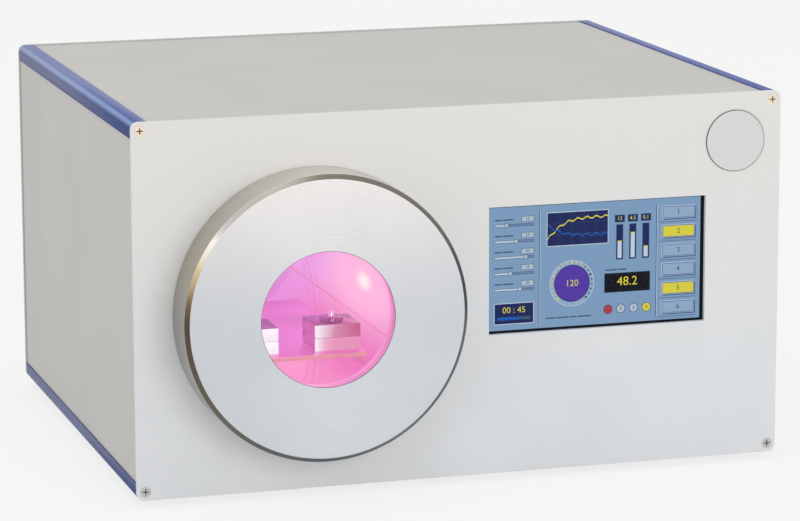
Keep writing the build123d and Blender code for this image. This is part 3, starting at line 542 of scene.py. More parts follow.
@dataclass(frozen=True)
class PlasmaWall(Finish):
    """Chamber wall with the pink discharge's light painted on as emission: paler above, deeper
    below a seam along the depth.

    Attributes:
        centre: A point on the chamber's axis, metres.
        spot: Middle of the bright spot, metres.
        pale, deep: Lights of the upper and the lower part.
        magenta, violet: Lights just below the seam and at the far end.
        streak: Light of the thin rings at the far end.
        glint, halo: Painted highlight of the bright spot, a lamp's reflection, and the painted
            light round it.
        seams: Shift in radians, share and light of the seam's lines.
        seam_angle: Angle of the seam about the axis, radians.
    """

    centre: Colour
    spot: Colour
    pale: Colour = (0.78, 0.39, 0.65)
    deep: Colour = (0.82, 0.27, 0.50)
    magenta: Colour = (0.72, 0.13, 0.42)
    violet: Colour = (0.66, 0.25, 0.68)
    streak: Colour = (0.60, 0.14, 0.50)
    halo: Colour = (1.0, 0.46, 0.60)
    glint: Colour = (1.0, 0.86, 0.76)
    seams: tuple[tuple[float, float, Colour], ...] = (
        (0.0, 0.9, (0.62, 0.09, 0.22)), (0.016, 0.35, (0.85, 0.22, 0.38)),
    )
    seam_angle: float = math.radians(-27.5)

    def draw(self, s: Shader) -> None:
        """Lay the lights over each other: heights, far end, streaks, seam and spot.

        Args:
            s: The material's empty tree.
        """
        x, y, z = s.axes()
        rise = z - self.centre[2]
        turn = rise.angle(x - self.centre[0])
        depth = y - self.spot[1]
        cloud = s.noise(16.0)
        light = s.mix(rise.fall(-0.060, -0.01) * 0.95 + cloud.sway(0.3), self.pale, self.deep)
        band = turn.near(self.seam_angle - 0.32, 0.50) + cloud.sway(0.4)
        light = s.mix(band, light, self.magenta)
        light = s.mix(depth.step(0.05, 0.15) * 0.7, light, self.violet)
        wrap = depth - (turn - self.seam_angle) * 0.20
        for shift, share in ((0.112, 0.5), (0.128, 0.35), (0.096, 0.25)):
            light = s.mix(wrap.near(shift, 0.006) * share, light, self.streak)
        for shift, share, line in self.seams:
            light = s.mix(turn.near(self.seam_angle - shift, 0.007) * share, light, line)
        away = (x - self.spot[0]).reach(z - self.spot[2]).reach(depth * 0.35)
        light = s.mix(away.fall(0.008, 0.034) * 0.6, light, self.halo)
        light = s.mix(away.fall(0.0005, 0.009) * 0.95, light, self.glint)
        s.surface(
            Base_Color=self.colour, Roughness=0.3, Emission_Color=light, Emission_Strength=1.0
        )


@dataclass(frozen=True)
class LitAlloy(Finish):
    """Brushed metal with the discharge's light painted on as emission, changing from one end to the
    other.

    Attributes:
        start: Place along x where the change starts, metres.
        span: Length over which it happens, metres.
        level: Height below which it is paler, metres.
        stops: Colours of the light from start to end.
        lower: Colour of the light below the level.
    """

    start: float
    span: float
    level: float
    stops: Stops
    lower: Colour

    def draw(self, s: Shader) -> None:
        """Light the brushed face along its width and below the level.

        Args:
            s: The material's empty tree.
        """
        x, _, z = s.axes()
        fine = s.noise(1500.0, 2.0, (0.03, 1.0, 1.0))
        along = (x - self.start) / self.span + fine.sway(0.10)
        under = z.fall(self.level - 0.2 * MM, self.level) * along.step(0.0, 0.35) * 0.8
        s.surface(
            fine, 0.15, Base_Color=self.colour, Roughness=0.3 + fine.sway(0.2), Metallic=1.0,
            Emission_Color=s.mix(under, s.ramp(self.stops, along), self.lower),
            Emission_Strength=0.95,
        )


@dataclass(frozen=True)
class Glow(Finish):
    """Polished metal close to the discharge, with the discharge's light painted on as an even glow.

    Attributes:
        light: Linear colour of the painted glow.
        roughness: Middle roughness.
    """

    light: Colour
    roughness: float = 0.15

    def draw(self, s: Shader) -> None:
        """Dim the light in clouds.

        Args:
            s: The material's empty tree.
        """
        cloud = s.noise(30.0)
        s.surface(
            Base_Color=self.colour, Roughness=self.roughness + cloud * 0.08, Metallic=1.0,
            Emission_Color=s.mix(cloud.step(0.35, 0.7), self.light, scaled(self.light, 0.8)),
            Emission_Strength=1.0,
        )


def scaled(colour: Colour, share: float) -> Colour:
    """Return a colour times a number."""
    return tuple(c * share for c in colour)


def hang(name: str, data: bpy.types.ID) -> Object:
    """Link a new object to the scene, at the origin.

    Args:
        name: Its name.
        data: Its mesh, camera or light.

    Returns:
        The object.
    """
    thing = bpy.data.objects.new(name, data)
    bpy.context.scene.collection.objects.link(thing)
    return thing


def middle_of(node: str) -> Vector:
    """Return the middle of a node's box."""
    low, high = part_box(node)
    return (Vector(low) + Vector(high)) / 2


def half_width(node: str) -> float:
    """Return half the width of a node's box, the radius of a round piece."""
    low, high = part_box(node)
    return (high[0] - low[0]) / 2


def dress(finish: Material, *nodes: str) -> None:
    """Give CAD nodes one finish.

    Args:
        finish: The material.
        nodes: Node names.
    """
    for name in nodes:
        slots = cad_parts[name].material_slots
        for slot in slots:
            slot.material = finish
        if not slots:
            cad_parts[name].data.materials.append(finish)


def add_piece(mesh: Mesh, name: str, body: str, *finishes: Material, node: str = "") -> Object:
    """Make an object from a finished mesh.

    Args:
        mesh: The mesh, in metres in the row's frame; it is freed.
        name: The piece's name.
        body: The body that it moves with.
        finishes: Its materials, by slot.
        node: The node whose place and slot it takes, if any.

    Returns:
        The object.
    """
    data = bpy.data.meshes.new(name)
    mesh.to_mesh(data)
    mesh.free()
    piece = hang(name, data)
    for finish in finishes:
        data.materials.append(finish)
    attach(piece, body)
    if node:
        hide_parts(node)
    LOG.info("piece %s: %d faces, rides on %s", name, len(data.polygons), body)
    return piece


def clean_copy(node: str) -> Mesh:
    """Return a node's mesh with its loose triangles merged into whole faces.

    Args:
        node: The node's name.

    Returns:
        The mesh.
    """
    mesh = bmesh.new()
    mesh.from_mesh(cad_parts[node].data)
    bmesh.ops.remove_doubles(mesh, verts=mesh.verts, dist=1e-6)
    bmesh.ops.dissolve_limit(
        mesh, angle_limit=math.radians(0.5), verts=mesh.verts, edges=mesh.edges,
        use_dissolve_boundaries=False,
    )
    return mesh


def soften(piece: Object, width: float, steps: int = 2, limit: float = 35.0,
           flat: bool = False) -> None:
    """Round a piece's sharp edges and shade it smooth.

    Args:
        piece: The object.
        width: Bevel width in metres.
        steps: Bevel segments.
        limit: Edges sharper than this many degrees are rounded.
        flat: Whether its faces stay plain, as on a plate.
    """
    bevel = piece.modifiers.new("edge_round", "BEVEL")
    bevel.width = width
    bevel.segments = steps
    bevel.limit_method = "ANGLE"
    bevel.angle_limit = math.radians(limit)
    bevel.harden_normals = not flat
    piece.data.polygons.foreach_set("use_smooth", [not flat] * len(piece.data.polygons))


def softened_node(node: str, body: str, finish: Material, width: float,
                  flat: bool = False) -> None:
    """Replace a node by its own shape with rounded edges.

    Args:
        node: The node's name.
        body: The body that it moves with.
        finish: Its material.
        width: Edge radius in metres.
        flat: Whether its faces stay plain.
    """
    piece = add_piece(clean_copy(node), node + "_finished", body, finish, node=node)
    soften(piece, width, flat=flat)


def spun(profile: list[tuple[float, float]], centre: Vector, steps: int) -> Mesh:
    """Turn a closed profile about an axis that runs front to back.

    Args:
        profile: Radius and depth of its corners, metres, the depth in the row's frame.
        centre: A point on the axis.
        steps: Facets round the turn.

    Returns:
        The turned mesh.
    """
    mesh = bmesh.new()
    verts = [mesh.verts.new((centre.x + r, y, centre.z)) for r, y in profile]
    edges = [mesh.edges.new((a, b)) for a, b in zip(verts, verts[1:] + verts[:1])]
    bmesh.ops.spin(
        mesh, geom=verts + edges, cent=centre, axis=(0, 1, 0), angle=2 * math.pi, steps=steps,
        use_merge=True,
    )
    bmesh.ops.remove_doubles(mesh, verts=mesh.verts, dist=1e-7)
    bmesh.ops.recalc_face_normals(mesh, faces=mesh.faces)
    return mesh


def paint(made: dict, slot: int) -> None:
    """Give the faces that a mesh operator made a material slot."""
    for face in {face for vert in made["verts"] for face in vert.link_faces}:
        face.material_index = slot


def add_box(mesh: Mesh, low: Colour, high: Colour, slot: int) -> None:
    """Add a box to a mesh.

    Args:
        mesh: The mesh.
        low, high: Its lowest and highest corner.
        slot: Material slot.
    """
    low, high = Vector(low), Vector(high)
    place = Matrix.Translation((low + high) / 2) @ Matrix.Diagonal((*(high - low), 1.0))
    paint(bmesh.ops.create_cube(mesh, size=1.0, matrix=place), slot)


def add_disc(mesh: Mesh, middle: Vector, radius: float, sides: int, slot: int) -> None:
    """Add a flat disc that faces the front.

    Args:
        mesh: The mesh.
        middle: Its middle.
        radius: Its radius.
        sides: Corners round it.
        slot: Material slot.
    """
    paint(bmesh.ops.create_circle(
        mesh, cap_ends=True, segments=sides, radius=radius,
        matrix=Matrix.Translation(middle) @ UPRIGHT,
    ), slot)


def add_rod(mesh: Mesh, start: Vector, end: Vector, radius: float, tip: float,
            sides: int, slot: int) -> None:
    """Add a round bar or cone between two points.

    Args:
        mesh: The mesh.
        start, end: Its ends.
        radius, tip: Radii at the start and the end.
        sides: Facets round it.
        slot: Material slot.
    """
    run = end - start
    turn = run.to_track_quat("Z", "Y").to_matrix().to_4x4()
    paint(bmesh.ops.create_cone(
        mesh, cap_ends=True, segments=sides, radius1=radius, radius2=tip, depth=run.length,
        matrix=Matrix.Translation((start + end) / 2) @ turn,
    ), slot)


@dataclass
class Casework:
    """Front and rear plates, sheets, rails, feet and their screws. The last fields are finishes.

    Attributes:
        edge, sheet_edge, rail_edge: Edge radii of plates, sheets and rails.
        rail_curve: Outer radius of a corner rail.
        disc_rim, disc_slope: Width and depth of the bare disc's dark rim.
        head_radius, head_depth: Radius and depth of a case screw's head.
        shank: Radius of its shank.
        cross_width, cross_reach, cross_depth: Width, half the span and depth of its cross.
        cross_lift: How far the cross's dark box of painted shade stands proud.
    """

    edge: float = 0.5 * MM
    sheet_edge: float = 0.3 * MM
    rail_edge: float = 0.25 * MM
    rail_curve: float = 5.0 * MM
    disc_rim: float = 0.5 * MM
    disc_slope: float = 0.3 * MM
    head_radius: float = 3.7 * MM
    head_depth: float = 1.7 * MM
    shank: float = 2.0 * MM
    cross_width: float = 1.0 * MM
    cross_reach: float = 2.3 * MM
    cross_depth: float = 0.5 * MM
    cross_lift: float = 0.04 * MM
    front_white: Paint = Paint(
        "front_powder_coat", (0.78, 0.80, 0.82), 0.42, 0.10, Fade(0.06, 0.24, (0.785, 0.77, 0.745))
    )
    cover_grey: Paint = Paint("cover_powder_coat", (0.60, 0.585, 0.56), 0.48, 0.16)
    disc_grey: Paint = Paint("blank_disc", (0.70, 0.70, 0.69), 0.35, 0.05)
    disc_edge: Moulded = Moulded("blank_disc_edge", (0.10, 0.10, 0.11), 0.4, 0.05)
    rubber: Moulded = Moulded("foot_rubber", (0.02, 0.02, 0.02), 0.75, 0.4)
    screw_brass: Metal = Metal("screw_yellow_zinc", (0.60, 0.51, 0.40), 0.28)
    screw_grey: Metal = Metal("screw_grey_zinc", (0.50, 0.50, 0.50), 0.30)
    recess: Moulded = Moulded("screw_recess", (0.05, 0.045, 0.04), 0.5, 0.1)
    # the rails' blue as it shows on their sides, painted darker there as shade by the rail finish
    rail_blue: Colour = (0.010, 0.038, 0.20)

    def build(self) -> None:
        """Build and dress the case."""
        white, grey = self.front_white.make(), self.cover_grey.make()
        low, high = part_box("rail_bottom_left")[0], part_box("rail_top_right")[1]
        middle = tuple((a + b) / 2 for a, b in zip(low, high))
        axis = (high[0] - middle[0] - self.rail_curve, high[2] - middle[2] - self.rail_curve)
        blue = AnodisedPaintedSheen("rail_blue_anodised", self.rail_blue, middle, axis).make()
        softened_node("front_panel", "case", white, self.edge, True)
        softened_node("rear_panel", "case", grey, self.edge, True)
        for side in ("top", "left", "right", "bottom"):
            softened_node(side + "_panel", "case", grey, self.sheet_edge, True)
        for corner in ("top_left", "top_right", "bottom_left", "bottom_right"):
            softened_node("rail_" + corner, "case", blue, self.rail_edge)
        self._disc()
        dress(self.rubber.make(), "feet")
        dress(self.screw_grey.make(), "foot_screws")
        self._screws("front_screws", -1.0)
        self._screws("rear_screws", 1.0)

    def _disc(self) -> None:
        """Build the bare round disc at the top right, with its thin dark rim."""
        low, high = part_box("badge_blank")
        centre, radius = middle_of("badge_blank"), half_width("badge_blank")
        front, back = low[1], high[1]
        mesh = spun([
            (0.0, front), (radius - self.disc_rim, front), (radius, front + self.disc_slope),
            (radius, back), (0.0, back),
        ], centre, 96)
        for face in mesh.faces:
            far = (Vector(face.calc_center_median()) - centre).xz.length
            face.material_index = int(far > radius - 0.9 * self.disc_rim)
        finishes = (self.disc_grey.make(), self.disc_edge.make())
        add_piece(mesh, "blank_disc", "case", *finishes, node="badge_blank")

    def _screws(self, node: str, outward: float) -> None:
        """Build four countersunk cross-recess screws.

        Args:
            node: The node that they replace.
            outward: -1 where the heads face the front, 1 where they face the back.
        """
        low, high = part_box(node)
        face, tail = (low[1], high[1]) if outward < 0 else (high[1], low[1])
        mesh = bmesh.new()
        for x in (low[0] + self.head_radius, high[0] - self.head_radius):
            for z in (low[2] + self.head_radius, high[2] - self.head_radius):
                slot = int(z < middle_of(node).z)
                self._screw(mesh, Vector((x, face, z)), tail, outward, slot)
        finishes = (self.screw_brass.make(), self.screw_grey.make(), self.recess.make())
        screws = add_piece(mesh, node + "_crossed", "case", *finishes, node=node)
        soften(screws, 0.12 * MM, 1, 50.0)

    def _screw(self, mesh: Mesh, top: Vector, tail: float, outward: float,
               slot: int) -> None:
        """Add one screw with a cross recess.

        Args:
            mesh: The mesh.
            top: Middle of the head's face.
            tail: Depth of the shank's end.
            outward: Direction that the head faces along the depth.
            slot: Material slot of the metal.
        """
        out = Vector((0, outward, 0))
        sunk = top - out * self.head_depth
        add_disc(mesh, top, self.head_radius, 40, slot)
        add_rod(mesh, sunk, top - out * 1e-5, self.shank, self.head_radius, 40, slot)
        add_rod(mesh, Vector((top.x, tail, top.z)), sunk, self.shank, self.shank, 24, slot)
        near, far = sorted((top.y - outward * self.cross_depth, top.y + outward * self.cross_lift))
        half = self.cross_width / 2
        # painted shade: a dark box fills each arm of the cross recess and stands in for its shaded
        # hollow
        for wide, tall in ((self.cross_reach, half), (half, self.cross_reach)):
            add_box(
                mesh, (top.x - wide, near, top.z - tall), (top.x + wide, far, top.z + tall), 2
            )


@dataclass
class Door:
    """The round door: turned ring, window, clamping ring and seal. The last fields are finishes.

    Attributes:
        chamfer: Width of the polished chamfer round the face.
        window: Radius of the window's opening.
        soft: Chamfer of the ring's other edges.
        glass_gap, pocket_gap, groove_gap: Clearances of the glass, the clamping ring and the seal.
    """

    chamfer: float = 3.0 * MM
    window: float = 46.0 * MM
    soft: float = 0.35 * MM
    glass_gap: float = 0.1 * MM
    pocket_gap: float = 0.15 * MM
    groove_gap: float = 0.1 * MM
    pane: ClearPane = ClearPane("window_pane", (0.95, 0.75, 0.88), 0.05, 0.3)
    steel: Metal = Metal("retainer_screw_steel", (0.55, 0.55, 0.55), 0.3)
    seal: Moulded = Moulded("fluoro_seal", (0.015, 0.015, 0.015), 0.55, 0.1)
    clamp: Glow = Glow("retainer_lit_alloy", (0.25, 0.12, 0.18), (0.66, 0.24, 0.46))
    rim: Glow = Glow("window_rim_lit_alloy", (0.25, 0.12, 0.18), (0.58, 0.20, 0.38))
    face_tint: Colour = (0.495, 0.515, 0.54)
    face_above: Colour = (0.60, 0.575, 0.565)
    # painted light on the door's side wall: lightest on top, darker at the left and below
    wall_painted_light: Stops = (
        (0.0, (0.44, 0.43, 0.40)), (0.12, (0.52, 0.52, 0.49)), (0.25, (0.46, 0.42, 0.35)),
        (0.5, (0.5, 0.5, 0.5)), (0.75, (0.68, 0.66, 0.62)), (0.86, (0.56, 0.54, 0.50)),
        (0.93, (0.50, 0.47, 0.40)), (1.0, (0.44, 0.43, 0.40)),
    )
    # painted reflections on the polished chamfer: a bright highlight and a gold glint at the upper
    # left, dark brown at the left, dark elsewhere
    chamfer_painted_reflection: Stops = (
        (0.0, (0.10, 0.07, 0.045)), (0.12, (0.15, 0.145, 0.125)), (0.25, (0.085, 0.10, 0.105)),
        (0.45, (0.12, 0.13, 0.13)), (0.62, (0.17, 0.16, 0.14)), (0.76, (0.22, 0.20, 0.17)),
        (0.82, (0.50, 0.47, 0.43)), (0.90, (0.56, 0.54, 0.50)), (0.935, (0.36, 0.28, 0.17)),
        (0.97, (0.17, 0.12, 0.075)), (1.0, (0.10, 0.07, 0.045)),
    )

    def build(self) -> None:
        """Build and dress the door."""
        centre = middle_of("door_ring")
        place = tuple(centre)
        fade = Fade(centre.z - 0.01, centre.z + 0.11, self.face_above)
        turned = Lay.TURNED
        self._ring(centre, (
            Metal("door_turned_face", (0.515, 0.53, 0.555), 0.42, turned, 0.16, place,
                  self.face_tint, fade).make(),
            Metal("door_turned_wall", (0.6, 0.6, 0.6), 0.40, turned, 0.12, place,
                  painted_light_round_axis=self.wall_painted_light).make(),
            Metal("door_polished_chamfer", (0.3, 0.3, 0.3), 0.22, turned, 0.06, place,
                  painted_light_round_axis=self.chamfer_painted_reflection).make(),
            self.rim.make(),
        ))
        dress(self.clamp.make(), "window_retainer")
        dress(self.pane.make(), "window_glass")
        dress(self.steel.make(), "retainer_screws")
        dress(self.seal.make(), "door_seal")

    def _ring(self, centre: Vector, finishes: tuple[Material, ...]) -> None:
        """Build the turned ring in place of its node.

        Args:
            centre: A point on the door's axis.
            finishes: Those of the face, the wall, the chamfer and the lit inner edge.
        """
        low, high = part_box("door_ring")
        radius, front, back = half_width("door_ring"), low[1], high[1]
        seat, step = (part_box(node)[0][1] for node in ("window_glass", "window_retainer"))
        glass = half_width("window_glass") + self.glass_gap
        pocket = half_width("window_retainer") + self.pocket_gap
        seal_low, seal_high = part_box("door_seal")
        groove = half_width("door_seal") + self.groove_gap
        groove_in = groove - (seal_high[1] - seal_low[1]) - 2 * self.groove_gap
        floor = seal_low[1] - self.groove_gap
        window, soft = self.window, self.soft
        mesh = spun([
            (window + soft, front), (radius - self.chamfer, front), (radius, front + self.chamfer),
            (radius, back - soft), (radius - soft, back), (groove, back), (groove, floor),
            (groove_in, floor), (groove_in, back), (pocket, back), (pocket, step), (glass, step),
            (glass, seat), (window, seat), (window, front + soft),
        ], centre, 256)
        for part in mesh.faces:
            spot = part.calc_center_median()
            far = (spot - centre).xz.length
            if abs(part.normal.y) > 0.99 and spot.y < front + 1e-5:
                part.material_index = 0
            elif far > radius - self.chamfer and spot.y < front + self.chamfer:
                part.material_index = 2
            elif far < glass and spot.y > front + 2 * soft:
                part.material_index = 3
            elif far < window + soft:
                part.material_index = 2
            else:
                part.material_index = 1
        ring = add_piece(mesh, "door_ring_turned", "door", *finishes, node="door_ring")
        soften(ring, 0.15 * MM, 2, 30.0)


@dataclass
class Carriage:
    """What moves with the door inside: rods, arms, tray and blocks. The last fields are finishes.

    Attributes:
        edge, fine_edge: Edge radii of rods and arms, and of tray and blocks.
        front_zone: Depth within which the tray's front edge lies.
        block_width: Width of a block.
        block_seam, block_top: Heights of the seam between a block's plates and of its top.
        boss_height: Height of the boss, above which only the stud stands.
    """

    edge: float = 0.3 * MM
    fine_edge: float = 0.25 * MM
    front_zone: float = 4 * MM
    block_width: float = 33 * MM
    block_seam: float = 9.3 * MM
    block_top: float = 18.3 * MM
    boss_height: float = 2.55 * MM
    rod_steel: Metal = Metal("ground_rod_steel", (0.72, 0.72, 0.72), 0.16, Lay.ALONG_X, 0.03)
    # painted light: the pink of the tray's alloy is the discharge's light painted into its colour;
    # its edge and top add a painted glow
    tray_alloy_painted_pink: Metal = Metal("tray_satin_alloy", (0.95, 0.60, 0.80), 0.30, Lay.ALONG_X, 0.08)
    tray_edge: Glow = Glow("tray_edge_lit", (0.15, 0.06, 0.08), (0.78, 0.29, 0.36), 0.35)
    tray_top: Glow = Glow("tray_top_lit", (0.62, 0.32, 0.50), (0.30, 0.05, 0.22), 0.25)
    # painted light: the screws' pink tint is the discharge's light painted into the steel's colour
    screw: Metal = Metal("tray_screw_steel", (0.7, 0.62, 0.66), 0.25)
    # painted shade: the blocks' dark magenta tops and bosses are painted shade in the discharge's
    # pink
    painted_block_top_shade: Metal = Metal("block_coated_top", (0.50, 0.12, 0.40), 0.18, Lay.ALONG_X, 0.05)
    # painted light: the blocks' pink sides are the discharge's light painted into the alloy's
    # colour
    block_side: Metal = Metal("block_side_alloy", (0.80, 0.40, 0.66), 0.18, Lay.ALONG_Y, 0.05)
    # painted light: the stud's pink and its glow are the discharge's light painted on
    stud: Glow = Glow("stud_polished", (0.80, 0.62, 0.74), (0.20, 0.10, 0.18), 0.12)
    # painted light on the blocks' fronts: white at the left end, deep magenta at the right
    block_front_painted_light: Stops = (
        (0.0, (0.92, 0.90, 0.96)), (0.10, (0.86, 0.80, 0.86)), (0.45, (0.60, 0.22, 0.36)),
        (1.0, (0.48, 0.05, 0.17)),
    )

    def build(self) -> None:
        """Build and dress the carriage."""
        softened_node("guide_rods", "door", self.rod_steel.make(), self.edge)
        alloy = self.tray_alloy_painted_pink.make()
        softened_node("tray_arms", "door", alloy, self.edge)
        self._tray(alloy)
        self._blocks()
        dress(self.screw.make(), "tray_screws")

    def _tray(self, alloy: Material) -> None:
        """Give the tray its painted glow on the top and the front edge.

        Args:
            alloy: Finish of its other faces, pink with painted light.
        """
        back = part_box("sample_tray")[0][1] + self.front_zone
        mesh = clean_copy("sample_tray")
        for face in mesh.faces:
            front = face.normal.y < -0.6 and face.calc_center_median().y < back
            face.material_index = 1 if front else 2 * int(face.normal.z > 0.9)
        finishes = [alloy, self.tray_edge.make(), self.tray_top.make()]
        self._add(mesh, "sample_tray", finishes)

    def _blocks(self) -> None:
        """Give the specimen blocks painted light on their fronts and sides, painted shade on their
        tops and a painted glow on the stud.
        """
        low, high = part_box("specimen_blocks")
        top = low[2] + self.block_top
        fronts = LitAlloy(
            "block_lit_alloy", (0.12, 0.06, 0.09), high[0] - self.block_width, self.block_width,
            low[2] + self.block_seam, self.block_front_painted_light, (0.80, 0.30, 0.50),
        )
        mesh = clean_copy("specimen_blocks")
        for face in mesh.faces:
            spot = face.calc_center_median()
            if spot.z > top + self.boss_height:
                face.material_index = 3
            elif spot.z > top - 1e-5 or face.normal.z > 0.9:
                face.material_index = 1
            elif abs(face.normal.x) > 0.9:
                face.material_index = 2
        finishes = [one.make() for one in (fronts, self.painted_block_top_shade, self.block_side, self.stud)]
        self._add(mesh, "specimen_blocks", finishes)

    def _add(self, mesh: Mesh, node: str, finishes: list[Material]) -> None:
        """Add a painted copy of a node and round its edges."""
        piece = add_piece(mesh, node + "_finished", "door", *finishes, node=node)
        soften(piece, self.fine_edge)


@dataclass
class Chamber:
    """The quartz chamber with its flanges and electrodes. The last fields are finishes.

    Attributes:
        edge, fine_edge: Edge radii of flange and port, and of bushes and inlets.
        spot: Middle of the bright spot, from the axis and the tube's front.
    """

    edge: float = 0.3 * MM
    fine_edge: float = 0.2 * MM
    spot: Colour = (73.9 * MM, 128.0 * MM, -11.9 * MM)
    alloy: Metal = Metal("machined_alloy", (0.74, 0.74, 0.745), 0.34)
    bronze: Metal = Metal("bush_bronze", (0.60, 0.43, 0.22), 0.35)
    copper: Metal = Metal(
        "copper_sheet", (0.80, 0.42, 0.28), 0.3, Lay.ALONG_Y, tint=(0.62, 0.30, 0.20)
    )
    steel: Metal = Metal("turned_stainless", (0.62, 0.62, 0.61), 0.28, Lay.ALONG_X)
    seal: Moulded = Moulded("tube_seal_rubber", (0.02, 0.02, 0.02), 0.6, 0.1)
    quartz: ClearPane = ClearPane("quartz_outside", (0.80, 0.78, 0.84), 0.25)

    def build(self) -> None:
        """Dress the chamber and paint the discharge's light on its walls."""
        centre, outer = middle_of("quartz_tube"), half_width("quartz_tube")
        front = Vector((centre.x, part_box("quartz_tube")[0][1], centre.z))
        spot = tuple(front + Vector(self.spot))
        glow = PlasmaWall("plasma_lit_quartz", (0.05, 0.01, 0.03), tuple(centre), spot).make()
        alloy, steel, clear = self.alloy.make(), self.steel.make(), self.quartz.make()
        self._lit("quartz_tube", clear, glow, lambda n, out: n.dot(out) < 0 or abs(n.y) > 0.9)
        self._lit("rear_flange", alloy, glow, lambda n, out: n.y < -0.9 and out.length < outer)
        softened_node("chamber_flange", "case", alloy, self.edge)
        dress(alloy, "front_cradle", "rear_stand", "gas_manifold")
        softened_node("guide_bushes", "case", self.bronze.make(), self.fine_edge)
        dress(self.copper.make(), "upper_electrode", "lower_electrode", "rf_strap")
        dress(steel, "vacuum_valve", "pressure_gauge", "gas_pipe")
        softened_node("pump_port", "case", steel, self.edge)
        softened_node("gas_inlets", "case", steel, self.fine_edge)
        dress(self.seal.make(), "tube_seals")

    def _lit(self, node: str, bare: Material, glow: Material,
             test: Callable[[Vector, Vector], bool]) -> None:
        """Paint the discharge's light on the faces of a node that it reaches, and leave its others
        bare.

        Args:
            node: The node's name.
            bare: Finish of the bare faces.
            glow: Finish of the lit faces.
            test: Tells from a face's normal and its place off the chamber's axis if it is lit.
        """
        centre = middle_of("quartz_tube")
        mesh = clean_copy(node)
        for face in mesh.faces:
            out = face.calc_center_median() - centre
            out.y = 0.0
            face.material_index = int(test(face.normal, out))
        add_piece(mesh, node + "_finished", "case", bare, glow, node=node)


class Ink(Enum):
    """Inks of the screen's picture: linear colour of each."""

    GROUND = (0.200, 0.325, 0.500)
    BORDER = (0.004, 0.005, 0.008)
    PALE = (0.52, 0.60, 0.72)
    LINE = (0.02, 0.035, 0.12)
    NAVY = (0.012, 0.02, 0.10)
    YELLOW = (0.68, 0.60, 0.05)
    VIOLET = (0.085, 0.04, 0.36)
    RED = (0.42, 0.05, 0.06)
    HEADER = (0.01, 0.10, 0.42)
    BUTTON = (0.27, 0.39, 0.55)
    MIDDLE = (0.14, 0.22, 0.38)
    FIELD = (0.42, 0.50, 0.60)
    SHADE = (0.045, 0.085, 0.18)


@dataclass(frozen=True)
class Area:
    """Rectangle of the picture, in millimetres from its lower left.

    Attributes:
        u, v: Its lower left corner.
        wide, tall: Its width and height.
    """

    u: float
    v: float
    wide: float
    tall: float

    def at(self, across: float, up: float) -> Point:
        """Return the point at these shares of the width and the height."""
        return self.u + self.wide * across, self.v + self.tall * up

    def grown(self, rim: float) -> Area:
        """Return the area with a rim added all round."""
        return Area(self.u - rim, self.v - rim, self.wide + 2 * rim, self.tall + 2 * rim)

    def moved(self, u: float, v: float) -> Area:
        """Return the area moved to the right and up."""
        return Area(self.u + u, self.v + v, self.wide, self.tall)


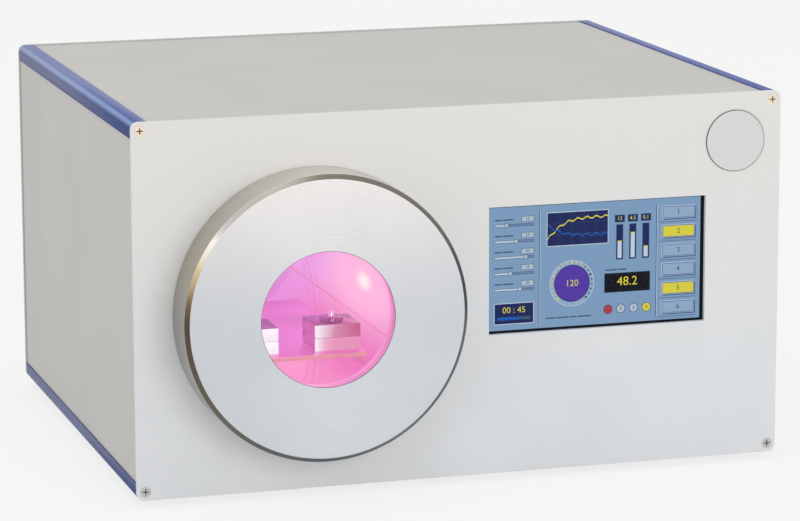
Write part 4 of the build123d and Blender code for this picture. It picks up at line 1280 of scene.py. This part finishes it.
@dataclass
class TouchScreen:
    """Display stack, and the picture that it shows: plain gauges, sliders and buttons with numbers.

    Attributes:
        width, height: Lit width and height, millimetres.
        bezel: Width of the black border, millimetres.
        lift: How far each layer of the picture stands in front of the one below, metres.
        letter: Size of a font whose digits are 1 tall.
        hair, inset: Width of the grid's lines and margin inside a button, millimetres.
    """

    width: float = 154.1
    height: float = 85.9
    bezel: float = 3.5
    lift: float = 0.01 * MM
    letter: float = 1.38
    hair: float = 0.25
    inset: float = 0.7
    pane: ClearPane = ClearPane("touch_pane", (0.10, 0.12, 0.15), 0.04, 0.2)
    module: Moulded = Moulded("display_black", (0.008, 0.008, 0.01), 0.3, 0.05)
    inks: tuple[Ink, ...] = tuple(Ink)

    def build(self) -> None:
        """Build the picture and dress the stack."""
        dress(self.pane.make(), "touch_glass")
        dress(self.module.make(), "display_module")
        middle = middle_of("display_module")
        self.corner = Vector((
            middle.x - self.width / 2 * MM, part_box("display_module")[0][1] - 2 * self.lift,
            middle.z - self.height / 2 * MM,
        ))
        self.mesh = bmesh.new()
        self._picture()
        inks = [Lamp("screen_" + ink.name.lower(), ink.value).make() for ink in self.inks]
        picture = add_piece(self.mesh, "screen_picture", "case", *inks)

    def _at(self, point: Point, layer: int) -> Vector:
        """Return the place of a point of the picture on a layer."""
        return self.corner + Vector((point[0] * MM, -layer * self.lift, point[1] * MM))

    def _face(self, corners: Iterable[Point], ink: Ink, layer: int) -> None:
        """Paint a face between its corners."""
        face = self.mesh.faces.new([self.mesh.verts.new(self._at(p, layer)) for p in corners])
        face.material_index = self.inks.index(ink)

    def _rect(self, area: Area, ink: Ink, layer: int) -> None:
        """Paint a rectangle."""
        self._face([area.at(a, b) for a, b in ((0, 0), (1, 0), (1, 1), (0, 1))], ink, layer)

    def _framed(self, area: Area, ink: Ink, layer: int, rim: float = 0.35,
                edge: Ink = Ink.LINE) -> None:
        """Paint a rectangle with a thin frame."""
        self._rect(area.grown(rim), edge, layer)
        self._rect(area, ink, layer + 1)

    def _disc(self, middle: Point, radius: float, ink: Ink, layer: int) -> None:
        """Paint a disc."""
        add_disc(self.mesh, self._at(middle, layer), radius * MM, 64, self.inks.index(ink))

    def _number(self, text: str, middle: Point, tall: float, ink: Ink, layer: int) -> None:
        """Write plain digits centred on a point.

        Args:
            text: The digits.
            middle: Their middle.
            tall: Their height, millimetres.
            ink: Their ink.
            layer: Their layer.
        """
        curve = bpy.data.curves.new("digits", "FONT")
        curve.body = text
        curve.size = tall * self.letter * MM
        curve.align_x = curve.align_y = "CENTER"
        curve.resolution_u = 3
        writer = bpy.data.objects.new("digits", curve)
        flat = bpy.data.meshes.new_from_object(writer)
        flat.transform(Matrix.Translation(self._at(middle, layer)) @ UPRIGHT)
        flat.polygons.foreach_set("material_index", [self.inks.index(ink)] * len(flat.polygons))
        self.mesh.from_mesh(flat)
        bpy.data.objects.remove(writer)
        bpy.data.curves.remove(curve)
        bpy.data.meshes.remove(flat)

    def _blurb(self, u: float, v: float, *runs: float) -> None:
        """Paint a line of plain dashes that stands for small print.

        Args:
            u: Its left end.
            v: Its lower side.
            runs: Lengths of the dashes.
        """
        dash, gap = 0.9, 0.8
        for run in runs:
            self._rect(Area(u, v, run, dash), Ink.SHADE, 3)
            u += run + gap

    def _trend(self, area: Area) -> None:
        """Paint a navy trend panel with a grid and two lines of readings.

        Args:
            area: Its lit field.
        """
        columns, rows, beats = 5, 3, 24
        self._framed(area, Ink.NAVY, 3, 0.5, Ink.PALE)
        for i in range(1, columns):
            self._rect(Area(*area.at(i / columns, 0), self.hair, area.tall), Ink.SHADE, 5)
        for i in range(1, rows):
            self._rect(Area(*area.at(0, i / rows), area.wide, self.hair), Ink.SHADE, 5)
        half, rate, ripple, beat = 0.45, 7, 0.04, 1.7
        for ink, start, swing, layer in ((Ink.YELLOW, 0.20, 0.62, 6), (Ink.HEADER, 0.62, -0.34, 7)):
            line = []
            for i in range(beats + 1):
                rise = swing * math.tanh(i / rate) + ripple * math.sin(beat * i)
                line.append(area.at(i / beats, start + rise))
            for (a, b), (c, d) in zip(line, line[1:]):
                self._face(((a, b - half), (c, d - half), (c, d + half), (a, b + half)), ink, layer)

    def _meter(self, area: Area, level: float, text: str) -> None:
        """Paint an upright bar meter with its number above.

        Args:
            area: Its outline.
            level: How full it is, 0 to 1.
            text: Its number.
        """
        cap = 0.9
        self._framed(area, Ink.NAVY, 3, 0.4, Ink.SHADE)
        inside = area.grown(-self.inset)
        bar = Area(inside.u, inside.v, inside.wide, inside.tall * level)
        self._rect(bar, Ink.PALE, 5)
        self._rect(Area(*bar.at(0, 1), bar.wide, cap), Ink.YELLOW, 6)
        label = Area(area.u - 1.1, area.v + area.tall + 2.2, 6.6, 4.4)
        self._framed(label, Ink.NAVY, 6)
        self._number(text, label.at(0.5, 0.5), label.tall * 0.62, Ink.YELLOW, 9)

    def _slider(self, area: Area, level: float, text: str) -> None:
        """Paint a level slider with a knob, its number and a line of print.

        Args:
            area: Its track.
            level: Where its knob stands, 0 to 1.
            text: Its number.
        """
        knob = area.at(level, 0.5)
        label = Area(area.u + area.wide - 8.6, area.v + 2.9, 8.6, 3.4)
        self._framed(area, Ink.MIDDLE, 3, 0.3, Ink.SHADE)
        self._rect(Area(area.u, area.v, area.wide * level, area.tall), Ink.PALE, 5)
        self._disc(knob, 1.7, Ink.SHADE, 6)
        self._disc(knob, 1.35, Ink.FIELD, 7)
        self._framed(label, Ink.FIELD, 3, 0.3, Ink.SHADE)
        self._number(text, label.at(0.5, 0.5), 2.1, Ink.LINE, 6)
        self._blurb(area.u, area.v + 4.1, 5.0, 7.5)

    def _dial(self, middle: Point, radius: float, text: str) -> None:
        """Paint a round violet dial with a ring of dots and its number.

        Args:
            middle: Its middle.
            radius: Radius of the violet field.
            text: Its number.
        """
        rim, band, track, shrink, ticks, lit = 3.2, 2.8, 1.6, 0.6, 21, 13
        self._disc(middle, radius + rim, Ink.PALE, 3)
        self._disc(middle, radius + band, Ink.BUTTON, 4)
        for i in range(ticks):
            turn = math.radians(225 - i * 270 / (ticks - 1))
            reach, dot = radius + track, 0.5625 if i % 5 else 0.825
            spot = (middle[0] + reach * math.cos(turn), middle[1] + reach * math.sin(turn))
            self._disc(spot, dot, Ink.YELLOW if i < lit else Ink.LINE, 5)
        self._disc(middle, radius, Ink.LINE, 6)
        self._disc(middle, radius - shrink, Ink.VIOLET, 7)
        self._number(text, middle, 4.6, Ink.YELLOW, 10)

    def _button(self, area: Area, ink: Ink, text: str) -> None:
        """Paint a raised button with its shadow and its number.

        Args:
            area: Its outline.
            ink: Ink of its face.
            text: Its number.
        """
        self._rect(area.moved(0.9, -0.9), Ink.SHADE, 3)
        self._rect(area.grown(0.3).moved(-0.1, 0.1), Ink.PALE, 4)
        self._rect(area, Ink.MIDDLE, 5)
        self._rect(area.grown(-self.inset), ink, 6)
        self._number(text, area.at(0.5, 0.5), area.tall * 0.42, Ink.LINE, 8)

    def _lamps(self, middle: Point, pitch: float) -> None:
        """Paint a row of round numbered lamps.

        Args:
            middle: Middle of the first.
            pitch: From one to the next.
        """
        for i, ink in enumerate((Ink.RED, Ink.FIELD, Ink.FIELD, Ink.YELLOW)):
            spot = (middle[0] + pitch * i, middle[1])
            self._disc(spot, 3.3, Ink.LINE, 3)
            self._disc(spot, 2.9, ink, 4)
            self._number(str(i + 1), spot, 2.6, Ink.LINE, 6)

    def _clock(self, area: Area) -> None:
        """Paint a box with the time and a bar that fills under it.

        Args:
            area: Its outline.
        """
        bar = Area(area.u + 2.0, area.v + 2.5, 24.0, 2.2)
        self._framed(area, Ink.NAVY, 3, 0.5, Ink.PALE)
        self._number("00 : 45", (area.at(0.5, 0)[0], area.v + 9.3), 4.4, Ink.YELLOW, 6)
        self._rect(bar, Ink.SHADE, 5)
        self._rect(Area(bar.u, bar.v, 15.5, bar.tall), Ink.HEADER, 6)

    def _picture(self) -> None:
        """Paint the whole picture: sliders, trend, dial, meters, lamps and buttons."""
        field = Area(0.0, 0.0, self.width, self.height)
        self._rect(field.grown(self.bezel), Ink.BORDER, 0)
        self._rect(field, Ink.GROUND, 1)
        for i, (level, text) in enumerate(
            ((0.3, "10"), (0.55, "25"), (0.8, "40"), (0.4, "15"), (0.65, "30"))
        ):
            self._slider(Area(4.0, 72.5 - 11.2 * i, 28.0, 1.2), level, text)
        self._clock(Area(4.0, 4.5, 28.0, 14.0))
        for u in (36.0, 121.5):
            rule = Area(u, 3.0, 0.5, self.height - 7.0)
            self._rect(rule, Ink.LINE, 3)
            self._rect(Area(u + rule.wide, rule.v, 0.4, rule.tall), Ink.PALE, 3)
        self._trend(Area(42.0, 57.0, 44.0, 23.0))
        self._dial((60.0, 30.0), 13.0, "120")
        for i, (level, text) in enumerate(((0.5, "12"), (0.75, "4.5"), (0.3, "0.1"))):
            self._meter(Area(92.5 + 9.6 * i, 45.0, 4.4, 24.0), level, text)
        self._framed(Area(84.0, 22.0, 33.0, 13.0), Ink.BORDER, 3, 0.4, Ink.SHADE)
        self._number("48.2", (100.5, 29.0), 6.4, Ink.YELLOW, 6)
        self._blurb(84.0, 37.2, 9.0, 6.0)
        self._lamps((86.5, 10.0), 9.4)
        self._blurb(41.0, 6.0, 7.0, 9.0, 5.0, 10.0)
        for i in range(6):
            ink = Ink.YELLOW if i in (1, 4) else Ink.BUTTON
            button = Area(126.0, 4.5 + i * 13.4, 24.0, 8.6)
            self._button(button, ink, str(6 - i))
            self._rect(Area(button.u - 2.5, button.v - 2.6, 28.0, 0.35), Ink.SHADE, 3)


@dataclass
class RearFittings:
    """Mains inlet, switch, fan and the units inside the case. The last fields are finishes.

    Attributes:
        edge, fine_edge: Edge radii of inlet and rocker, and of the switch's frame and the drawer.
    """

    edge: float = 0.3 * MM
    fine_edge: float = 0.25 * MM
    black: Moulded = Moulded("moulded_black", (0.018, 0.018, 0.02), 0.42, 0.25)
    zinc: Metal = Metal("zinc_sheet", (0.55, 0.56, 0.57), 0.42, Lay.ALONG_X)
    unit: Paint = Paint("unit_grey_paint", (0.30, 0.33, 0.36), 0.5)
    board: Moulded = Moulded("board_green", (0.02, 0.14, 0.06), 0.35, 0.1)
    gasket: Moulded = Moulded("gasket_foam", (0.02, 0.02, 0.02), 0.9, 0.4)

    def build(self) -> None:
        """Dress the rear fittings and the inner units."""
        black, zinc = self.black.make(), self.zinc.make()
        softened_node("power_inlet", "case", black, self.edge)
        softened_node("switch_frame", "case", black, self.fine_edge)
        softened_node("switch_rocker", "rocker", black, self.edge)
        softened_node("fuse_drawer", "fuse_drawer", black, self.fine_edge)
        dress(black, "fan_frame", "fan_rotor")
        dress(zinc, "display_pan", "board_posts", "power_supply", "rf_generator", "matching_unit")
        dress(self.unit.make(), *(f"gas_controller_{i}" for i in (1, 2, 3)))
        dress(self.board.make(), "control_board")
        dress(self.gasket.make(), "screen_gasket")
        LOG.info("rear fittings dressed")


@dataclass
class Studio:
    """Floor, lights, world and the camera at the photograph's angle.

    Attributes:
        focal: Focal length in pixels of the 800 pixel wide frame.
        azimuth, elevation, roll: Camera's angles, radians.
        distance, aim: Camera's distance along its axis and its shift, in front plate widths.
        mark: Point that it looks at, from the plate's lower left, in front plate widths.
        principal: Where the camera's axis meets the frame, pixels.
        frame_size, sensor: Size of the frame, pixels, and width of the sensor, millimetres.
        ambient: Strength of the even light.
        kept: Share of white that the camera sees on the floor; the rest shows the shadow.
        floor_half: Half the floor's side, metres.
        lights: Name, place, size in metres and power in watts of each softbox.
        light_aim: Height that the lights face, metres.
    """

    focal: float = 3666.1
    azimuth: float = -0.2924
    elevation: float = 0.199
    roll: float = -0.003
    distance: float = 5.429
    aim: tuple[float, float] = (-0.0971, 0.0548)
    principal: tuple[float, float] = (398.6, 261.8)
    frame_size: tuple[float, float] = (800.0, 521.0)
    sensor: float = 36.0
    mark: Colour = (0.5, 0.0, 0.27)
    ambient: float = 0.66
    kept: float = 0.8
    floor_half: float = 6.0
    floor_grey: Colour = (0.80, 0.80, 0.80)
    lights: tuple[tuple[str, Colour, float, float], ...] = (
        ("key_softbox", (0.7, -2.9, 0.65), 1.9, 26.0),
        ("top_softbox", (-0.3, 0.2, 2.3), 1.8, 5.5),
        ("left_softbox", (-2.2, -0.6, 0.9), 1.4, 6.5),
    )
    light_aim: float = 0.12

    def build(self) -> None:
        """Build the studio."""
        self._camera()
        self._world()
        self._floor()
        for light in self.lights:
            self._light(*light)

    def _camera(self) -> None:
        """Place the camera that was solved from the photograph's edges."""
        low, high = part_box("front_panel")
        width = high[0] - low[0]
        target = Vector(low) + Vector(self.mark) * width
        a, e = self.azimuth, self.elevation
        back = Vector((math.sin(a) * math.cos(e), -math.cos(a) * math.cos(e), math.sin(e)))
        right = Vector((0, 0, 1)).cross(back).normalized()
        up = back.cross(right)
        turned_right = right * math.cos(self.roll) + up * math.sin(self.roll)
        turned_up = up * math.cos(self.roll) - right * math.sin(self.roll)
        shift = turned_right * self.aim[0] + turned_up * self.aim[1] + back * self.distance
        wide, tall = self.frame_size
        data = bpy.data.cameras.new("camera")
        data.sensor_width = self.sensor
        data.lens = self.focal * self.sensor / wide
        data.shift_x = (wide / 2 - self.principal[0]) / wide
        data.shift_y = (self.principal[1] - tall / 2) / wide
        data.clip_end = 50.0
        camera = hang("camera", data)
        turn = Matrix((turned_right, turned_up, back)).transposed().to_4x4()
        camera.matrix_world = Matrix.Translation(target + shift * width) @ turn
        bpy.context.scene.camera = camera

    def _world(self) -> None:
        """Soft even light, with a white background for the camera, gloss and glass."""
        world = bpy.data.worlds.new("studio")
        bpy.context.scene.world = world
        s = Shader("studio", world)
        soft = s.add("Background", Color=WHITE, Strength=self.ambient)
        bright = s.add("Background", Color=WHITE, Strength=1.0)
        s.blend(s.seen(), soft, bright)

    def _floor(self) -> None:
        """Pale floor that goes white in the camera's eye and keeps the shadow."""
        mesh = bmesh.new()
        under = Matrix.Translation((0, 0, -0.5 * MM))
        bmesh.ops.create_grid(mesh, x_segments=1, y_segments=1, size=self.floor_half, matrix=under)
        data = bpy.data.meshes.new("floor")
        mesh.to_mesh(data)
        mesh.free()
        floor = hang("floor", data)
        s = Shader("studio_floor")
        cloth = s.add("BsdfDiffuse", Color=self.floor_grey)
        bright = s.add("Emission", Color=WHITE, Strength=1.0)
        s.blend(s.seen() * self.kept, cloth, bright)
        data.materials.append(s.material)

    def _light(self, name: str, place: Colour, size: float, power: float) -> None:
        """Hang a square softbox that faces the object.

        Args:
            name: The light's name.
            place: Where it hangs, metres.
            size: Side of the softbox, metres.
            power: Its power, watts.
        """
        data = bpy.data.lights.new(name, "AREA")
        data.energy = power
        data.size = size
        lamp = hang(name, data)
        lamp.location = place
        run = Vector((0, 0, self.light_aim)) - Vector(place)
        lamp.rotation_euler = run.to_track_quat("-Z", "Y").to_euler()


def main() -> None:
    """Build every part of the scene in order."""
    for kind in (Studio, Casework, Door, Carriage, Chamber, TouchScreen, RearFittings):
        LOG.info("building %s", kind.__name__)
        kind().build()
    bpy.context.scene.view_settings.view_transform = "Standard"


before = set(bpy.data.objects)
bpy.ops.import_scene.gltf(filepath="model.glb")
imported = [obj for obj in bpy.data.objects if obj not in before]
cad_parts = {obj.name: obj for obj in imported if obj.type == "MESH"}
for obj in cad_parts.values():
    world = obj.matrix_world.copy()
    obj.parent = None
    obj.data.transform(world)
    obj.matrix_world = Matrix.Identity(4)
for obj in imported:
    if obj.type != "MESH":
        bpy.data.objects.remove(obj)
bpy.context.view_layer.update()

if __name__ == "__main__":
    logging.basicConfig(level=logging.INFO, format="%(message)s")
    main()
